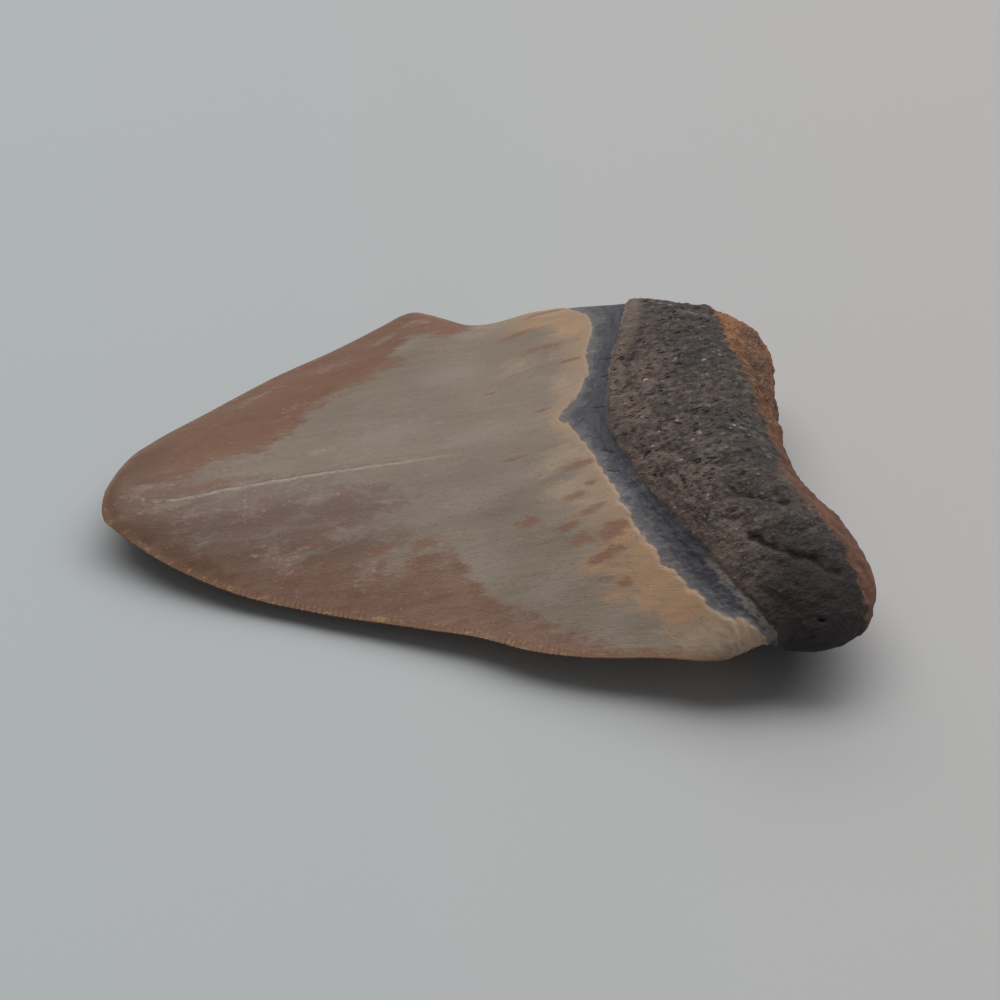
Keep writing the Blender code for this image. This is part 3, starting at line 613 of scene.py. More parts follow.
# %% Pits of the root
PIT_COUNTS = ((0.50, 60), (0.26, 260))                # (depth in mm, how many)
PIT_LENGTH, PIT_BREADTH, PIT_LEAN = (0.45, 0.85), (0.36, 0.55), (-0.35, 0.35)
ONE_IN = 5                                             # every fifth pit is on the under face
dice = random.Random(5)
pit = np.zeros_like(x)
root_points = np.flatnonzero((past_root > 0.5) & (side > 0) & (past_basal < 1.0))
under_points = np.flatnonzero((past_root > 0.5) & (side < 0))
pit_finder = kdtree.KDTree(len(places))
for i, spot in enumerate(places):
    pit_finder.insert(spot, i)
pit_finder.balance()
for pit_depth, count in PIT_COUNTS:
    for number in range(count):
        on_top = number % ONE_IN
        pool = root_points if on_top else under_points
        centre = places[pool[dice.randrange(len(pool))]]
        crowding = 0.05 + 0.95 * float(ease(-28, -12, centre[1])) if on_top else 0.4
        if dice.random() > crowding:
            continue
        length = dice.uniform(*PIT_LENGTH)
        breadth = length * dice.uniform(*PIT_BREADTH)
        lean = dice.uniform(*PIT_LEAN)
        for spot, i, _ in pit_finder.find_range(centre, length):
            dx, dy = spot[0] - centre[0], spot[1] - centre[1]
            dz = (spot[2] - centre[2]) * 0.8
            u, v = dx + lean * dy, dy - lean * dx
            reach = (u / length) ** 2 + (v * v + dz * dz) / breadth ** 2
            if reach < 1:
                pit[i] = max(pit[i], pit_depth * (1 - reach) ** 1.5)
pit *= on_root
relief -= pit
print("points inside pits:", np.count_nonzero(pit))

# %% [markdown]
# ## Carving
# Every point is moved along the surface's own normal by its relief, the way a chisel works square to
# the face. Blades are left alone close to the rim, or the edge would turn ragged, and no point may
# sink below the table.


# %% Carve along the normals
def normals_of(points, faces):
    """Area-weighted normals at the points."""
    normals = np.zeros_like(points)
    for size in (3, 4):
        group = np.array([face for face in faces if len(face) == size])
        corner = points[group]
        area = np.cross(corner[:, 2] - corner[:, 0], corner[:, -1] - corner[:, 1])
        if size == 3:
            area = np.cross(corner[:, 1] - corner[:, 0], corner[:, 2] - corner[:, 0])
        for k in range(size):
            np.add.at(normals, group[:, k], area)
    return normals / np.maximum(np.linalg.norm(normals, axis=1, keepdims=True), 1e-12)


blade = (1 - ease(0.15, 0.8, bluntness(share, 2 * across - 1))) * (1 - on_root)
calm_at_rim = 1 - blade * (1 - ease(0.0, 1.2, behind_rim))
relief = relief * calm_at_rim - GROOVE_DEPTH * groove * ease(0.0, 0.4, behind_rim)
carved = places + normals_of(places, faces) * relief[:, None]
carved += inward * (NOTCH_DEPTH * groove * np.clip(1 - behind_rim, 0, 1))[:, None]
carved[:, 2] = np.maximum(carved[:, 2], 0.0)
print("relief from", round(relief.min(), 2), "to", round(relief.max(), 2), "mm")

# %% Fit to the solid and make the mesh
low, high = (np.array(corner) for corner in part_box(NODE))
size = np.ptp(carved, axis=0)
fit = (high - low) / size
start = carved.min(axis=0)


def to_frame(points):
    """From the carver's millimetres to the frame's metres."""
    return low + (np.asarray(points, float) - start) * fit


mesh = bpy.data.meshes.new("fossil_tooth")
mesh.from_pydata(to_frame(carved).tolist(), [], faces)
mesh.shade_smooth()
tooth = bpy.data.objects.new("fossil_tooth", mesh)
bpy.context.scene.collection.objects.link(tooth)
print("stretch of each side against the solid:", (fit / MM).round(4), "problems mended:", mesh.validate())

# %% [markdown]
# ## Where the colours lie
# A fossil takes its colours from the ground it lay in. Iron stained the edges rust brown, and the
# thin enamel by the gum band lets the yellow dentine show through. Such stains follow the tooth, so
# their borders are curves and blots placed in millimetres, kept as numbers on the points.
# Painting a picture for it would also work, but numbers stay sharp at any distance.

# %% Borders of the stains, in millimetres
FAR_STAIN = [(0, -0.5), (6, 0.0), (10, 1.2), (15, 3.6), (19, 4.7), (23.4, 5.3), (26.9, 8.2), (30, 12.7),
             (35.5, 16.4), (40, 20.5), (42.5, 25.2), (45, 28.5), (48, 27.5), (51, 26.8), (53.5, 29),
             (56, 34), (60, 40)]                       # rust lies beyond this y
NEAR_STAIN = [(0, -1.5), (2.7, -3.8), (6.4, -6.6), (12.9, -10.2), (21.1, -13.0), (26.1, -13.6),
              (30.6, -15.2), (34.6, -15.8), (38.6, -17.3), (42.2, -16.0), (46, -17.8), (50.4, -25.1),
              (56.5, -29.5), (63.5, -35.0), (73.1, -39.2), (84, -44)]         # and below this y
OCHRE_WIDTH = [(-41, 3.0), (-35, 4.5), (-30, 6.5), (-26, 6.0), (-21, 6.0), (-15, 5.0), (-8, 2.6),
               (-1, 2.2), (5, 3.0), (12, 4.0), (20, 6.5), (25, 9.5), (29, 11.0)]
CENTRE_LINE = [(4.8, -1.2), (10.9, -2.0), (13.6, -1.9), (17.6, -1.7), (23.2, -1.6), (34.1, -1.8),
               (40.8, -2.1), (46.2, -2.4), (51.5, -3.1)]
print("points drawn for the borders:", sum(map(len, (FAR_STAIN, NEAR_STAIN, OCHRE_WIDTH, CENTRE_LINE))))

# %% [markdown]
# A blot is an oval with a place, a half length, a half breadth and a lean. Laid side by side and
# frayed later with noise, ovals make stains of any shape.

# %% Warm blots on the enamel: x, y, half length, half breadth, lean in degrees
RUST_BLOTS = [
    (15.0, -0.4, 6.5, 0.8, 1), (27.6, -12.3, 2.4, 0.9, 8), (36.9, -14.6, 2.2, 1.0, 5),
    (42.2, -15.3, 2.6, 0.9, 6), (40.9, 21.0, 3.2, 2.0, 20), (36.5, 18.5, 3.0, 1.8, 25),
    (63.3, 14.9, 3.4, 0.7, -2), (59.6, 20.9, 2.6, 0.65, -2),
    (63.8, 25.3, 3.2, 0.65, -4), (63.8, -10.4, 2.3, 0.8, 0), (62.8, -14.9, 1.6, 0.6, 0),
    (65.2, -13.7, 0.9, 0.35, 0), (56.6, -16.4, 2.3, 0.8, -2), (61.3, -18.9, 2.4, 0.6, 0),
    (64.4, -17.7, 2.0, 0.6, 0), (66.8, -21.4, 3.0, 1.3, 4), (62.9, -20.9, 2.2, 0.8, 0),
    (65.6, -24.2, 2.6, 0.8, 6), (67.4, -28.3, 1.5, 0.8, 4), (60.9, 1.7, 1.3, 0.3, 4),
    (55.9, -6.2, 1.6, 0.3, 0), (54.5, 8.0, 1.4, 0.3, 0), (65.5, 10.5, 1.6, 0.4, 0),
]
AMBER_BLOTS = [
    (70.6, -26.4, 3.4, 2.6, 30), (72.2, -29.6, 3.6, 2.4, 30), (74.2, -33.0, 3.0, 2.0, 30),
    (67.6, -28.2, 3.2, 1.9, 20), (64.3, -24.7, 2.6, 1.5, 10), (68.4, -22.5, 2.4, 1.4, 20),
    (66.0, 24.5, 4.6, 2.0, 0), (66.8, 17.5, 2.2, 2.0, 0), (62.0, 21.4, 3.6, 1.3, 5),
]
CREAM_BLOTS = [
    (78.4, -37.4, 4.2, 2.2, 40), (81.4, -39.3, 3.2, 1.8, 30), (75.2, -38.0, 2.6, 1.4, 20),
    (64.4, 5.5, 2.2, 2.4, 20), (58.5, 12.5, 3.0, 2.0, 5), (61.0, -8.5, 3.5, 2.0, 10),
    (61.5, -14.0, 3.0, 2.0, 10),
]
print("warm blots:", len(RUST_BLOTS) + len(AMBER_BLOTS) + len(CREAM_BLOTS))

# %% Pale, mauve and scuffed blots on the enamel
PALE_BLOTS = [
    (44.0, 25.3, 3.8, 2.2, 40), (49.6, -20.2, 5.5, 3.0, 12), (57.9, -26.4, 6.0, 2.4, 16),
    (66.0, -32.3, 5.5, 2.0, 16), (40.0, 3.7, 7.0, 2.2, 4),
    (52.0, -10.0, 7.0, 2.4, 6), (49.0, 14.0, 5.5, 3.0, 6), (53.0, 27.0, 3.5, 3.0, 0),
    (50.5, -0.2, 6.0, 1.3, 3),
]
MAUVE_BLOTS = [
    (9.5, -5.2, 8.0, 4.5, 4), (20.2, -7.0, 8.5, 4.5, 4), (26.2, -11.4, 6.0, 2.6, 4),
    (17.3, -11.4, 8.0, 4.0, 4), (7.0, -1.2, 7.0, 2.6, 0), (32.0, -8.0, 8.0, 3.0, 4),
    (31.0, -15.0, 7.0, 3.0, 6),
]
SCUFF_BLOTS = [
    (4.6, -0.6, 1.8, 0.8, 0), (9.5, -2.6, 3.4, 0.9, 4), (20.2, -5.1, 2.4, 1.8, 20),
    (12.0, -4.6, 2.2, 1.2, 0), (22.3, -12.5, 2.0, 1.6, 20), (25.0, -13.7, 2.6, 1.2, 30),
    (34.7, -17.0, 1.6, 1.4, 30),
    (38.0, -17.3, 2.2, 1.2, 10), (30.5, 2.5, 2.0, 0.5, 0), (42.8, 5.0, 1.6, 0.4, 0), (6.0, 1.2, 2.4, 0.7, 0),
    (29.0, -5.4, 3.0, 0.7, 4), (22.0, 20.5, 3.0, 1.0, 35), (33.0, 25.5, 3.0, 1.2, 30),
    (40.8, 30.0, 2.4, 1.0, 30), (46.8, 33.6, 2.0, 1.4, -20), (27.0, 13.5, 1.6, 0.7, 30),
]
print("cool blots:", len(PALE_BLOTS) + len(MAUVE_BLOTS) + len(SCUFF_BLOTS))

# %% Blots on the root and round the point
SOOT_BLOTS = [
    (82.3, 3.0, 5.5, 4.0, 10), (85.0, 9.0, 6.0, 5.0, 0), (85.4, -9.0, 5.0, 3.6, 20),
    (87.5, -15.6, 5.5, 3.8, 20), (93.4, -30.5, 4.5, 3.6, 60), (88.7, -34.6, 4.0, 3.0, 10),
    (94.6, -37.5, 4.0, 3.6, 40), (91.5, -41.0, 5.0, 3.0, 0),
    (86.5, -23.5, 3.5, 2.2, 10), (83.0, 17.5, 5.0, 4.0, 0), (89.5, -28.0, 3.4, 2.2, 20),
]
PITTED_BLOTS = [
    (75.5, 4.0, 7.5, 17.0, 8), (78.0, -8.0, 7.0, 10.0, -15), (80.0, -18.0, 5.0, 6.0, -30),
    (83.0, 14.0, 6.0, 8.0, 0),
]
RUSSET_BLOTS = [(91.0, 6.0, 2.6, 4.5, 0), (91.5, 12.0, 2.4, 3.5, 0), (92.6, -12.0, 2.0, 4.0, 0)]
WASH_BLOTS = [                                         # brown wash all round the point
    (0.5, 0.0, 5.5, 8.0, 0), (4.5, -5.5, 6.0, 3.6, -40), (5.0, 6.0, 7.0, 4.5, 45),
    (10.0, -10.5, 7.0, 2.8, -35), (6.0, 2.5, 5.0, 1.6, 0),
]
RED_BLOTS = [
    (71.5, -3.0, 3.0, 5.5, 0), (73.0, -13.0, 3.2, 5.0, -20), (76.5, -20.5, 3.6, 4.6, -30),
    (81.0, -28.0, 3.4, 4.4, -30), (76.0, 3.0, 4.0, 4.0, 0), (84.0, -34.0, 3.4, 3.0, -40),
]
print("blots on the root and round the point:",
      sum(map(len, (SOOT_BLOTS, PITTED_BLOTS, RUSSET_BLOTS, WASH_BLOTS, RED_BLOTS))))


# %% How deep a point lies in a blot
def blots(marks):
    """How deep each point lies in the nearest blot: 1 at its middle, 0 on its border, less outside."""
    depth = np.full_like(x, -1.0)
    for cx, cy, length, breadth, lean in marks:
        turn = math.radians(lean)
        u = (x - cx) * math.cos(turn) + (y - cy) * math.sin(turn)
        v = (y - cy) * math.cos(turn) - (x - cx) * math.sin(turn)
        depth = np.maximum(depth, 1 - np.hypot(u / length, v / breadth))
    return depth


print("points inside the scuffs:", np.count_nonzero(blots(SCUFF_BLOTS) > 0))

# %% [markdown]
# Blender keeps such numbers as attributes of the mesh, and a material can read them by name. Two more
# attributes are places: one bent along the grain of the enamel, one leaned with the root, for noise.

# %% Numbers kept on the points
GRAIN_LINE = [(0, -0.6), (10, -1.9), (20, -1.65), (34, -1.8), (50, -3.0), (70, -3.0)]      # the way it grew
GRAIN_SPREAD = 0.0075                                  # how fast the grain fans out past x = 50
ROOT_LEAN = 0.15
UNDER_STAIN, UNDER_STAIN_FADE = 2.6, 0.8               # rust along the rim of the under face
UNDER_OCHRE = 7.0
top = ease(-0.5, 0.0, side)
stain = np.maximum(y - curve(FAR_STAIN, x), curve(NEAR_STAIN, x) - y)
stain = np.where(side < 0, UNDER_STAIN - behind_rim * UNDER_STAIN_FADE, stain)
bend = GRAIN_SPREAD * np.maximum(x - 50, 0) ** 2 * ease(-8, -25, y) - curve(GRAIN_LINE, x)
fields = {
    "past_enamel": past_enamel, "past_root": past_root, "past_basal": past_basal, "band_share": band_share,
    "behind_rim": behind_rim, "groove": groove, "pit": pit, "crease": np.maximum(dark_crease, 0),
    "broken": broken, "top": top, "stain": stain,
    "ochre": 1 + past_enamel / np.where(side < 0, UNDER_OCHRE, curve(OCHRE_WIDTH, y)),
    "line": y - curve(CENTRE_LINE, x) + 2 * (1 - top), "crack_side": crack_side, "crack_here": crack_here,
    "rust": blots(RUST_BLOTS) * top - (1 - top), "amber": blots(AMBER_BLOTS), "cream": blots(CREAM_BLOTS),
    "pale": blots(PALE_BLOTS), "mauve": blots(MAUVE_BLOTS), "scuff": blots(SCUFF_BLOTS),
    "soot": blots(SOOT_BLOTS), "red": blots(RED_BLOTS), "pitted": blots(PITTED_BLOTS),
    "russet": blots(RUSSET_BLOTS), "wash": blots(WASH_BLOTS), "x": x, "y": y,
}
for name, values in fields.items():
    mesh.attributes.new(name, "FLOAT", "POINT").data.foreach_set("value", values.astype(np.float32))
for name, shifted in (("grain", y + bend), ("place", y - ROOT_LEAN * x)):
    spots = np.stack([x, shifted, z], -1).astype(np.float32).ravel()
    mesh.attributes.new(name, "FLOAT_VECTOR", "POINT").data.foreach_set("vector", spots)
print("numbers kept on", len(mesh.vertices), "points:", ", ".join(fields))

# %% [markdown]
# ## Finishes written as expressions
# A material is a sum of many small masks. Wiring them by hand takes hundreds of clicks, so a small
# class wraps a socket and lets Python's own + - * add the Math nodes.


# %% A socket that can be reckoned with
class Amount:
    """A number socket: arithmetic on it adds Math nodes."""

    def __init__(self, finish, socket):
        self.finish = finish
        self.socket = socket

    def reckon(self, operation, first, second):
        return self.finish.node("Math", {"operation": operation}, {0: first, 1: second})

    def __add__(self, other):
        return self.reckon("ADD", self, other)

    def __sub__(self, other):
        return self.reckon("SUBTRACT", self, other)

    def __rsub__(self, other):
        return self.reckon("SUBTRACT", other, self)

    def __mul__(self, other):
        return self.reckon("MULTIPLY", self, other)

    __radd__ = __add__
    __rmul__ = __mul__

    def most(self, other):
        """The larger of two amounts."""
        return self.reckon("MAXIMUM", self, other)

    def between(self, low, high):
        """0 at low, 1 at high, smooth between; low may be the larger."""
        settings = {"interpolation_type": "SMOOTHSTEP"}
        sockets = {"Value": self, "From Min": low, "From Max": high}
        if low > high:
            sockets = {"Value": self, "From Min": high, "From Max": low, "To Min": 1.0, "To Max": 0.0}
        return self.finish.node("MapRange", settings, sockets)


print("an Amount can be added, subtracted and multiplied, and turned into a mask")

# %% [markdown]
# A second class holds a whole material. One method adds any node. The others are the few moves that
# every finish here needs: read a number from the mesh, lay one colour over another, pick by a mask.


# %% A finish that adds its own nodes
class Finish:
    """A material whose nodes are added one by one."""

    def __init__(self, name):
        self.material = bpy.data.materials.new(name)
        self.material.use_nodes = True
        self.tree = self.material.node_tree
        self.shader = self.tree.nodes["Principled BSDF"]

    def plug(self, value, socket):
        """Link an Amount to a socket, or set the socket to a plain value."""
        if isinstance(value, Amount):
            self.tree.links.new(value.socket, socket)
        else:
            socket.default_value = value

    def node(self, kind, settings, sockets, output=0):
        """Add a node: its settings first, then a value or a link for each socket."""
        made = self.tree.nodes.new("ShaderNode" + kind)
        for name, value in settings.items():
            setattr(made, name, value)
        for name, value in sockets.items():
            self.plug(value, made.inputs[name])
        return Amount(self, made.outputs[output])

    def field(self, name, output="Fac"):
        """Read one of the numbers or places kept on the points."""
        return self.node("Attribute", {"attribute_name": name}, {}, output)

    def over(self, mask, under, upper):
        """The upper colour laid over the lower one where the mask is 1."""
        settings = {"data_type": "RGBA", "clamp_factor": True}
        return self.node("Mix", settings, {0: mask, 6: under, 7: upper}, 2)

    def pick(self, mask, first, second):
        """The first number where the mask is 0, the second where it is 1."""
        return self.node("Mix", {"data_type": "FLOAT"}, {0: mask, 2: first, 3: second})

    def tell(self, what):
        """Print how large the finish has grown."""
        print(what, "done, nodes so far:", len(self.tree.nodes))


print("a finish can:", ", ".join(name for name in vars(Finish) if not name.startswith("_")))

# %% [markdown]
# Stone and bone are never one even colour, so the tooth's finish can also draw noise. Each noise is
# sized in millimetres, one length per axis, because streaks and grains are things one can measure.


# %% A finish that can draw clouds and grains
class StoneFinish(Finish):
    """A finish with noises sized in millimetres."""

    def stretch(self, vector, lengths):
        """Scale a place so that a feature of these lengths (mm) measures 1."""
        shares_of_one = [1 / length for length in lengths]
        return self.node("VectorMath", {"operation": "MULTIPLY"}, {0: vector, 1: shares_of_one})

    def cloud(self, place, lengths, detail=2.0, roughness=0.55):
        """Soft noise, mostly -1 to 1, for features of these lengths in millimetres."""
        sockets = {"Vector": self.stretch(place, lengths), "Scale": 1.0}
        sockets.update({"Detail": detail, "Roughness": roughness})
        return (self.node("TexNoise", {}, sockets) - 0.5) * 6.0

    def cells(self, place, lengths):
        """Distance from scattered middles, for grains and pits of these lengths in millimetres."""
        sockets = {"Vector": self.stretch(place, lengths), "Scale": 1.0}
        return self.node("TexVoronoi", {}, sockets, "Distance")

    def warp(self, place, lengths, reach):
        """Shift a place unevenly, so that what is drawn there loses its even shape."""
        sockets = {"Vector": self.stretch(place, lengths), "Scale": 1.0, "Detail": 2.0}
        drift = self.node("TexNoise", {}, sockets, "Color")
        settings = {"operation": "MULTIPLY_ADD"}
        return self.node("VectorMath", settings, {0: drift, 1: [2 * reach] * 3, 2: place})


print("noises:", ", ".join(name for name in vars(StoneFinish) if not name.startswith("_")))


# %% A coat that takes glazes
class Coat:
    """A colour that glazes are laid over, one after another."""

    def __init__(self, finish, mask, first, second):
        self.finish = finish
        self.colour = finish.over(mask, first, second)

    def glaze(self, mask, colour):
        """Lay a colour over what is there, as far as the mask lets it."""
        self.colour = self.finish.over(mask, self.colour, colour)


print("a coat keeps only its latest colour")

# %% Colours as they look in soft light
LIGHT_ON_FLOOR = 0.72                                  # brightness of a white sheet in the finished light


def paint(red, green, blue):
    """Colour of a finish from how it looks in the soft light, 0 to 255."""
    linear = []
    for part in (red, green, blue):
        part /= 255
        linear.append(part / 12.92 if part <= 0.04045 else ((part + 0.055) / 1.055) ** 2.4)
    return (*[part / LIGHT_ON_FLOOR for part in linear], 1.0)


print("middle grey as paint:", round(paint(128, 128, 128)[0], 3))

# %% [markdown]
# ## The enamel
# Enamel is thin, hard and half clear. Long streaks follow the way it grew, from the point to the
# root. Layers are laid over each other as a glazer would: the grey ground, pale and mauve clouds,
# the ochre strip by the gum band, rust stains, and last the scuffs and the line down the middle.

# %% Enamel: streaks, clouds and grit to build with
tint = StoneFinish("fossil_tooth")
grain = tint.field("grain", "Vector")
streak = tint.cloud(grain, (10, 0.8, 5), 4)
fine_streak = tint.cloud(grain, (2.6, 0.17, 2), 3, 0.6)
broad = tint.cloud(grain, (11, 4.5, 9), 3)
mottle = tint.cloud(grain, (3.4, 1.5, 3), 5, 0.62)
smudge = tint.cloud(grain, (1.3, 0.7, 1.2), 4, 0.65)
grit = tint.cloud(grain, (0.5, 0.3, 0.5), 3, 0.65)
past_enamel = tint.field("past_enamel")
past_root = tint.field("past_root")
x_mm, y_mm = tint.field("x"), tint.field("y")
tint.tell("places and noises for the enamel")

# %% Enamel: ground and clouds
SHADED_GREY = paint(117, 103, 90)
ENAMEL_GREY = paint(130, 117, 104)
OLIVE_CLOUD = paint(121, 107, 88)
BROWN_STREAK = paint(110, 95, 85)
PALE_SMUDGE = paint(142, 131, 119)
PALE_CLOUD = paint(134, 123, 112)
MAUVE = paint(107, 83, 71)
ground = (streak * 0.4 + broad * 0.4 + smudge * 0.35).between(-0.8, 0.8)
enamel = Coat(tint, ground, SHADED_GREY, ENAMEL_GREY)
enamel.glaze(mottle.between(0.1, 0.9) * 0.5, OLIVE_CLOUD)
enamel.glaze(smudge.between(0.0, 0.9) * streak.between(-0.6, 0.4) * 0.45, BROWN_STREAK)
enamel.glaze(smudge.between(-0.1, -0.9) * 0.35, PALE_SMUDGE)
pale = (tint.field("pale") + mottle * 0.4 + smudge * 0.3).between(-0.35, 0.9)
enamel.glaze(pale * 0.7, PALE_CLOUD)
mauve = (tint.field("mauve") + mottle * 0.4 + smudge * 0.3).between(-0.5, 0.7)
enamel.glaze(mauve * 0.95, MAUVE)
tint.tell("enamel ground and clouds")

# %% Enamel: ochre, cream and amber by the gum band
OCHRE = paint(147, 123, 101)
CREAM = paint(155, 134, 113)
AMBER = paint(161, 127, 97)
ochre = (tint.field("ochre") + streak * 0.15 + mottle * 0.25 + smudge * 0.15).between(-0.45, 0.75)
enamel.glaze(ochre, OCHRE)
cream = (tint.field("cream") + mottle * 0.4 + streak * 0.15 + smudge * 0.25).between(-0.4, 0.9)
enamel.glaze(cream * 0.7, CREAM)
amber = (tint.field("amber") + streak * 0.25 + mottle * 0.35 + smudge * 0.2).between(-0.45, 0.85)
enamel.glaze(amber * 0.85, AMBER)
tint.tell("ochre strip")

# %% [markdown]
# Rust lies over the ground where iron soaked in, worn thin in places. It is a little redder and
# deeper along the far edge; on the near side it is painted lighter, painted light where that side lies in
# shade. All round the point a brown wash covers the rest.

# %% Enamel: rust
# the near rust is painted lighter: painted light for the shade on the near side
NEAR_RUST_PAINTED_LIGHTER = paint(122, 93, 79)
FAR_RUST = paint(118, 80, 57)
DARK_RUST = paint(107, 75, 58)
WORN_RUST = paint(134, 108, 94)
RUST_SPOT = paint(118, 84, 64)
POINT_BROWN = paint(100, 71, 55)
stain = tint.field("stain") + streak * 0.6 + mottle * 1.4 + smudge * 0.9
rust = stain.between(-1.4, 1.5)
far_side = y_mm.between(-4, 8)
enamel.glaze(rust * 0.95, tint.over(far_side, NEAR_RUST_PAINTED_LIGHTER, FAR_RUST))
dark_rust = (mottle * 0.7 + smudge * 0.6 + streak * 0.4).between(-0.6, 0.9)
enamel.glaze(rust * dark_rust * 0.7, DARK_RUST)
enamel.glaze(rust * smudge.between(0.3, 0.9) * 0.4, WORN_RUST)
rust_blot = (tint.field("rust") + streak * 0.2 + mottle * 0.35 + smudge * 0.4).between(-0.35, 0.7)
enamel.glaze(rust_blot * 0.85, RUST_SPOT)
wash = (tint.field("wash") + mottle * 0.3 + smudge * 0.2).between(-0.4, 0.8)
enamel.glaze(wash * 0.95, POINT_BROWN)
tint.tell("rust")

# %% Enamel: scuffs, specks and the pale ledge
LEDGE_CREAM = paint(156, 138, 120)
SCUFFED = paint(160, 141, 131)
PALE_SPECK = paint(150, 134, 122)
DARK_STREAK = paint(95, 81, 70)
DARK_GRIT = paint(84, 70, 60)
edge_line = (past_enamel + smudge * 0.3 + grit * 0.1).between(-0.50, -0.16)
enamel.glaze(edge_line * (mottle + smudge).between(-0.6, 0.6) * 0.35, LEDGE_CREAM)
specks = (grit * 0.9 + fine_streak * 0.25 + smudge * 0.3).between(0.5, 1.2)
scuff = (tint.field("scuff") * 0.8 + smudge * 0.8 + mottle * 0.2).between(-0.2, 0.65)
enamel.glaze(scuff * (specks * 0.7 + 0.3), SCUFFED)
enamel.glaze(specks * 0.25, PALE_SPECK)
enamel.glaze(fine_streak.between(-0.3, -1.1) * 0.10, DARK_STREAK)
enamel.glaze((grit + smudge * 0.3).between(-0.55, -1.0) * 0.3, DARK_GRIT)
tint.tell("scuffs")

# %% [markdown]
# A pale scratch runs down the middle, wavy and broken, with a thin dark shade beside it that makes
# it look cut in. Only its distance is kept on the mesh, so the line stays thin however near one looks.

# %% Enamel: the line down the middle
PALE_LINE = paint(158, 145, 132)
LINE_SHADE = paint(92, 76, 66)
beside_line = tint.field("line") + tint.cloud(grain, (3.0, 9, 9), 3, 0.7) * 0.10 + grit * 0.05
line = beside_line.between(-0.38, -0.18) * beside_line.between(0.34, 0.16)
line_fade = (x_mm + mottle * 2).between(53, 35) * (x_mm + smudge * 2).between(6, 11)
line_fade = line_fade * (smudge + fine_streak * 0.4).between(-1.2, 0.5)
enamel.glaze(line * line_fade * 0.8, PALE_LINE)
line_shade = beside_line.between(0.55, 0.25) * beside_line.between(0.12, 0.22) * line_fade
enamel.glaze(line_shade * 0.6, LINE_SHADE)
tint.tell("line down the middle")

# %% Enamel: the worn cutting edge
EDGE_RUST = paint(122, 90, 69)
EDGE_TAN = paint(134, 104, 80)
PAINTED_GROOVE_SHADE = paint(80, 58, 46)
CHIP_TAN = paint(156, 124, 92)
DARK_RIM = paint(88, 63, 48)
behind = tint.field("behind_rim") + mottle * 0.22 + grit * 0.08
edge_tint = behind.between(1.7, 0.5) * x_mm.between(86, 62)
enamel.glaze(edge_tint * 0.75, EDGE_RUST)
enamel.glaze(edge_tint * smudge.between(0.0, 0.8) * 0.5, EDGE_TAN)
# painted shade in the serration grooves, darker where shade falls between the teeth
painted_groove_shade = tint.field("groove").between(0.15, 0.75) * (grit + smudge).between(-0.6, 0.8)
enamel.glaze(painted_groove_shade * behind.between(1.3, 0.7) * 0.85, PAINTED_GROOVE_SHADE)
chip = (smudge + grit * 0.5).between(0.45, 0.75) * behind.between(1.3, 0.6)
enamel.glaze(chip * 0.75, CHIP_TAN)
dark_rim = behind.between(0.45, 0.15) * (mottle + smudge * 0.5).between(-0.5, 0.7)
enamel.glaze(dark_rim * 0.5, DARK_RIM)
tint.tell("cutting edge")

# %% [markdown]
# ## The gum band
# The band between enamel and root was covered by gum. On this tooth it turned blue black, smooth
# and slightly waxy, with a lighter worn strip on the enamel's side and fine cracks across it.

# %% Gum band
BAND_BLACK = paint(49, 50, 57)
BAND_BLUE = paint(65, 66, 74)
WORN_BAND = paint(95, 92, 91)
PALE_PATCH = paint(122, 117, 111)
BAND_SMUDGE = paint(50, 49, 52)
BAND_SPECK = paint(104, 102, 104)
share_of_band = tint.field("band_share")
band_place = tint.node("CombineXYZ", {}, {0: share_of_band * 5.0, 1: y_mm, 2: 0.0}, "Vector")
band_streak = tint.cloud(band_place, (0.8, 7, 1), 2, 0.5)
light_side = share_of_band + band_streak * 0.15 + mottle * 0.20 + smudge * 0.12
light_limit = y_mm.between(-6, -20) * 0.06
band = Coat(tint, band_streak.between(-0.8, 0.8), BAND_BLACK, BAND_BLUE)
band.glaze((light_side - light_limit).between(0.36, 0.06) * 0.85, WORN_BAND)
pale_patch = (smudge * 0.8 + grit * 0.4).between(0.3, 0.8) * (light_side - light_limit).between(0.7, 0.2)
band.glaze(pale_patch * 0.7, PALE_PATCH)
band.glaze(smudge.between(-0.3, -1.1) * 0.4, BAND_SMUDGE)
band.glaze((grit + fine_streak * 0.5).between(0.4, 1.0) * 0.3, BAND_SPECK)
tint.tell("gum band ground")

# %% Gum band: cracks and its two borders
CRACK_BLACK = paint(38, 37, 40)
BAND_END = paint(45, 44, 47)
PALE_END = paint(124, 118, 110)
BAND_CLOUD = paint(102, 96, 97)
BAND_STREAK = paint(122, 116, 112)
crack_side = tint.field("crack_side") + grit * 0.03
crack = crack_side.between(-0.13, -0.03) * crack_side.between(0.13, 0.03) * tint.field("crack_here")
band.glaze(crack * 0.75, CRACK_BLACK)
band_end = past_root + smudge * 0.15
band.glaze(band_end.between(-0.9, -0.35) * 0.45, BAND_END)
band.glaze(band_end.between(-0.32, -0.12) * y_mm.between(-10, 8) * 0.6, PALE_END)
near_cloud = (smudge + mottle * 0.5).between(-0.3, 0.8) * y_mm.between(-9, -16)
band.glaze(near_cloud * 0.45, BAND_CLOUD)
near_streak = (band_end + mottle * 0.12).between(-1.1, -0.6) * y_mm.between(-27, -33)
near_streak = near_streak * y_mm.between(-41.0, -38.5)
band.glaze(near_streak * (smudge + grit * 0.4).between(-1.0, 0.3) * 0.9, BAND_STREAK)
tint.tell("gum band")
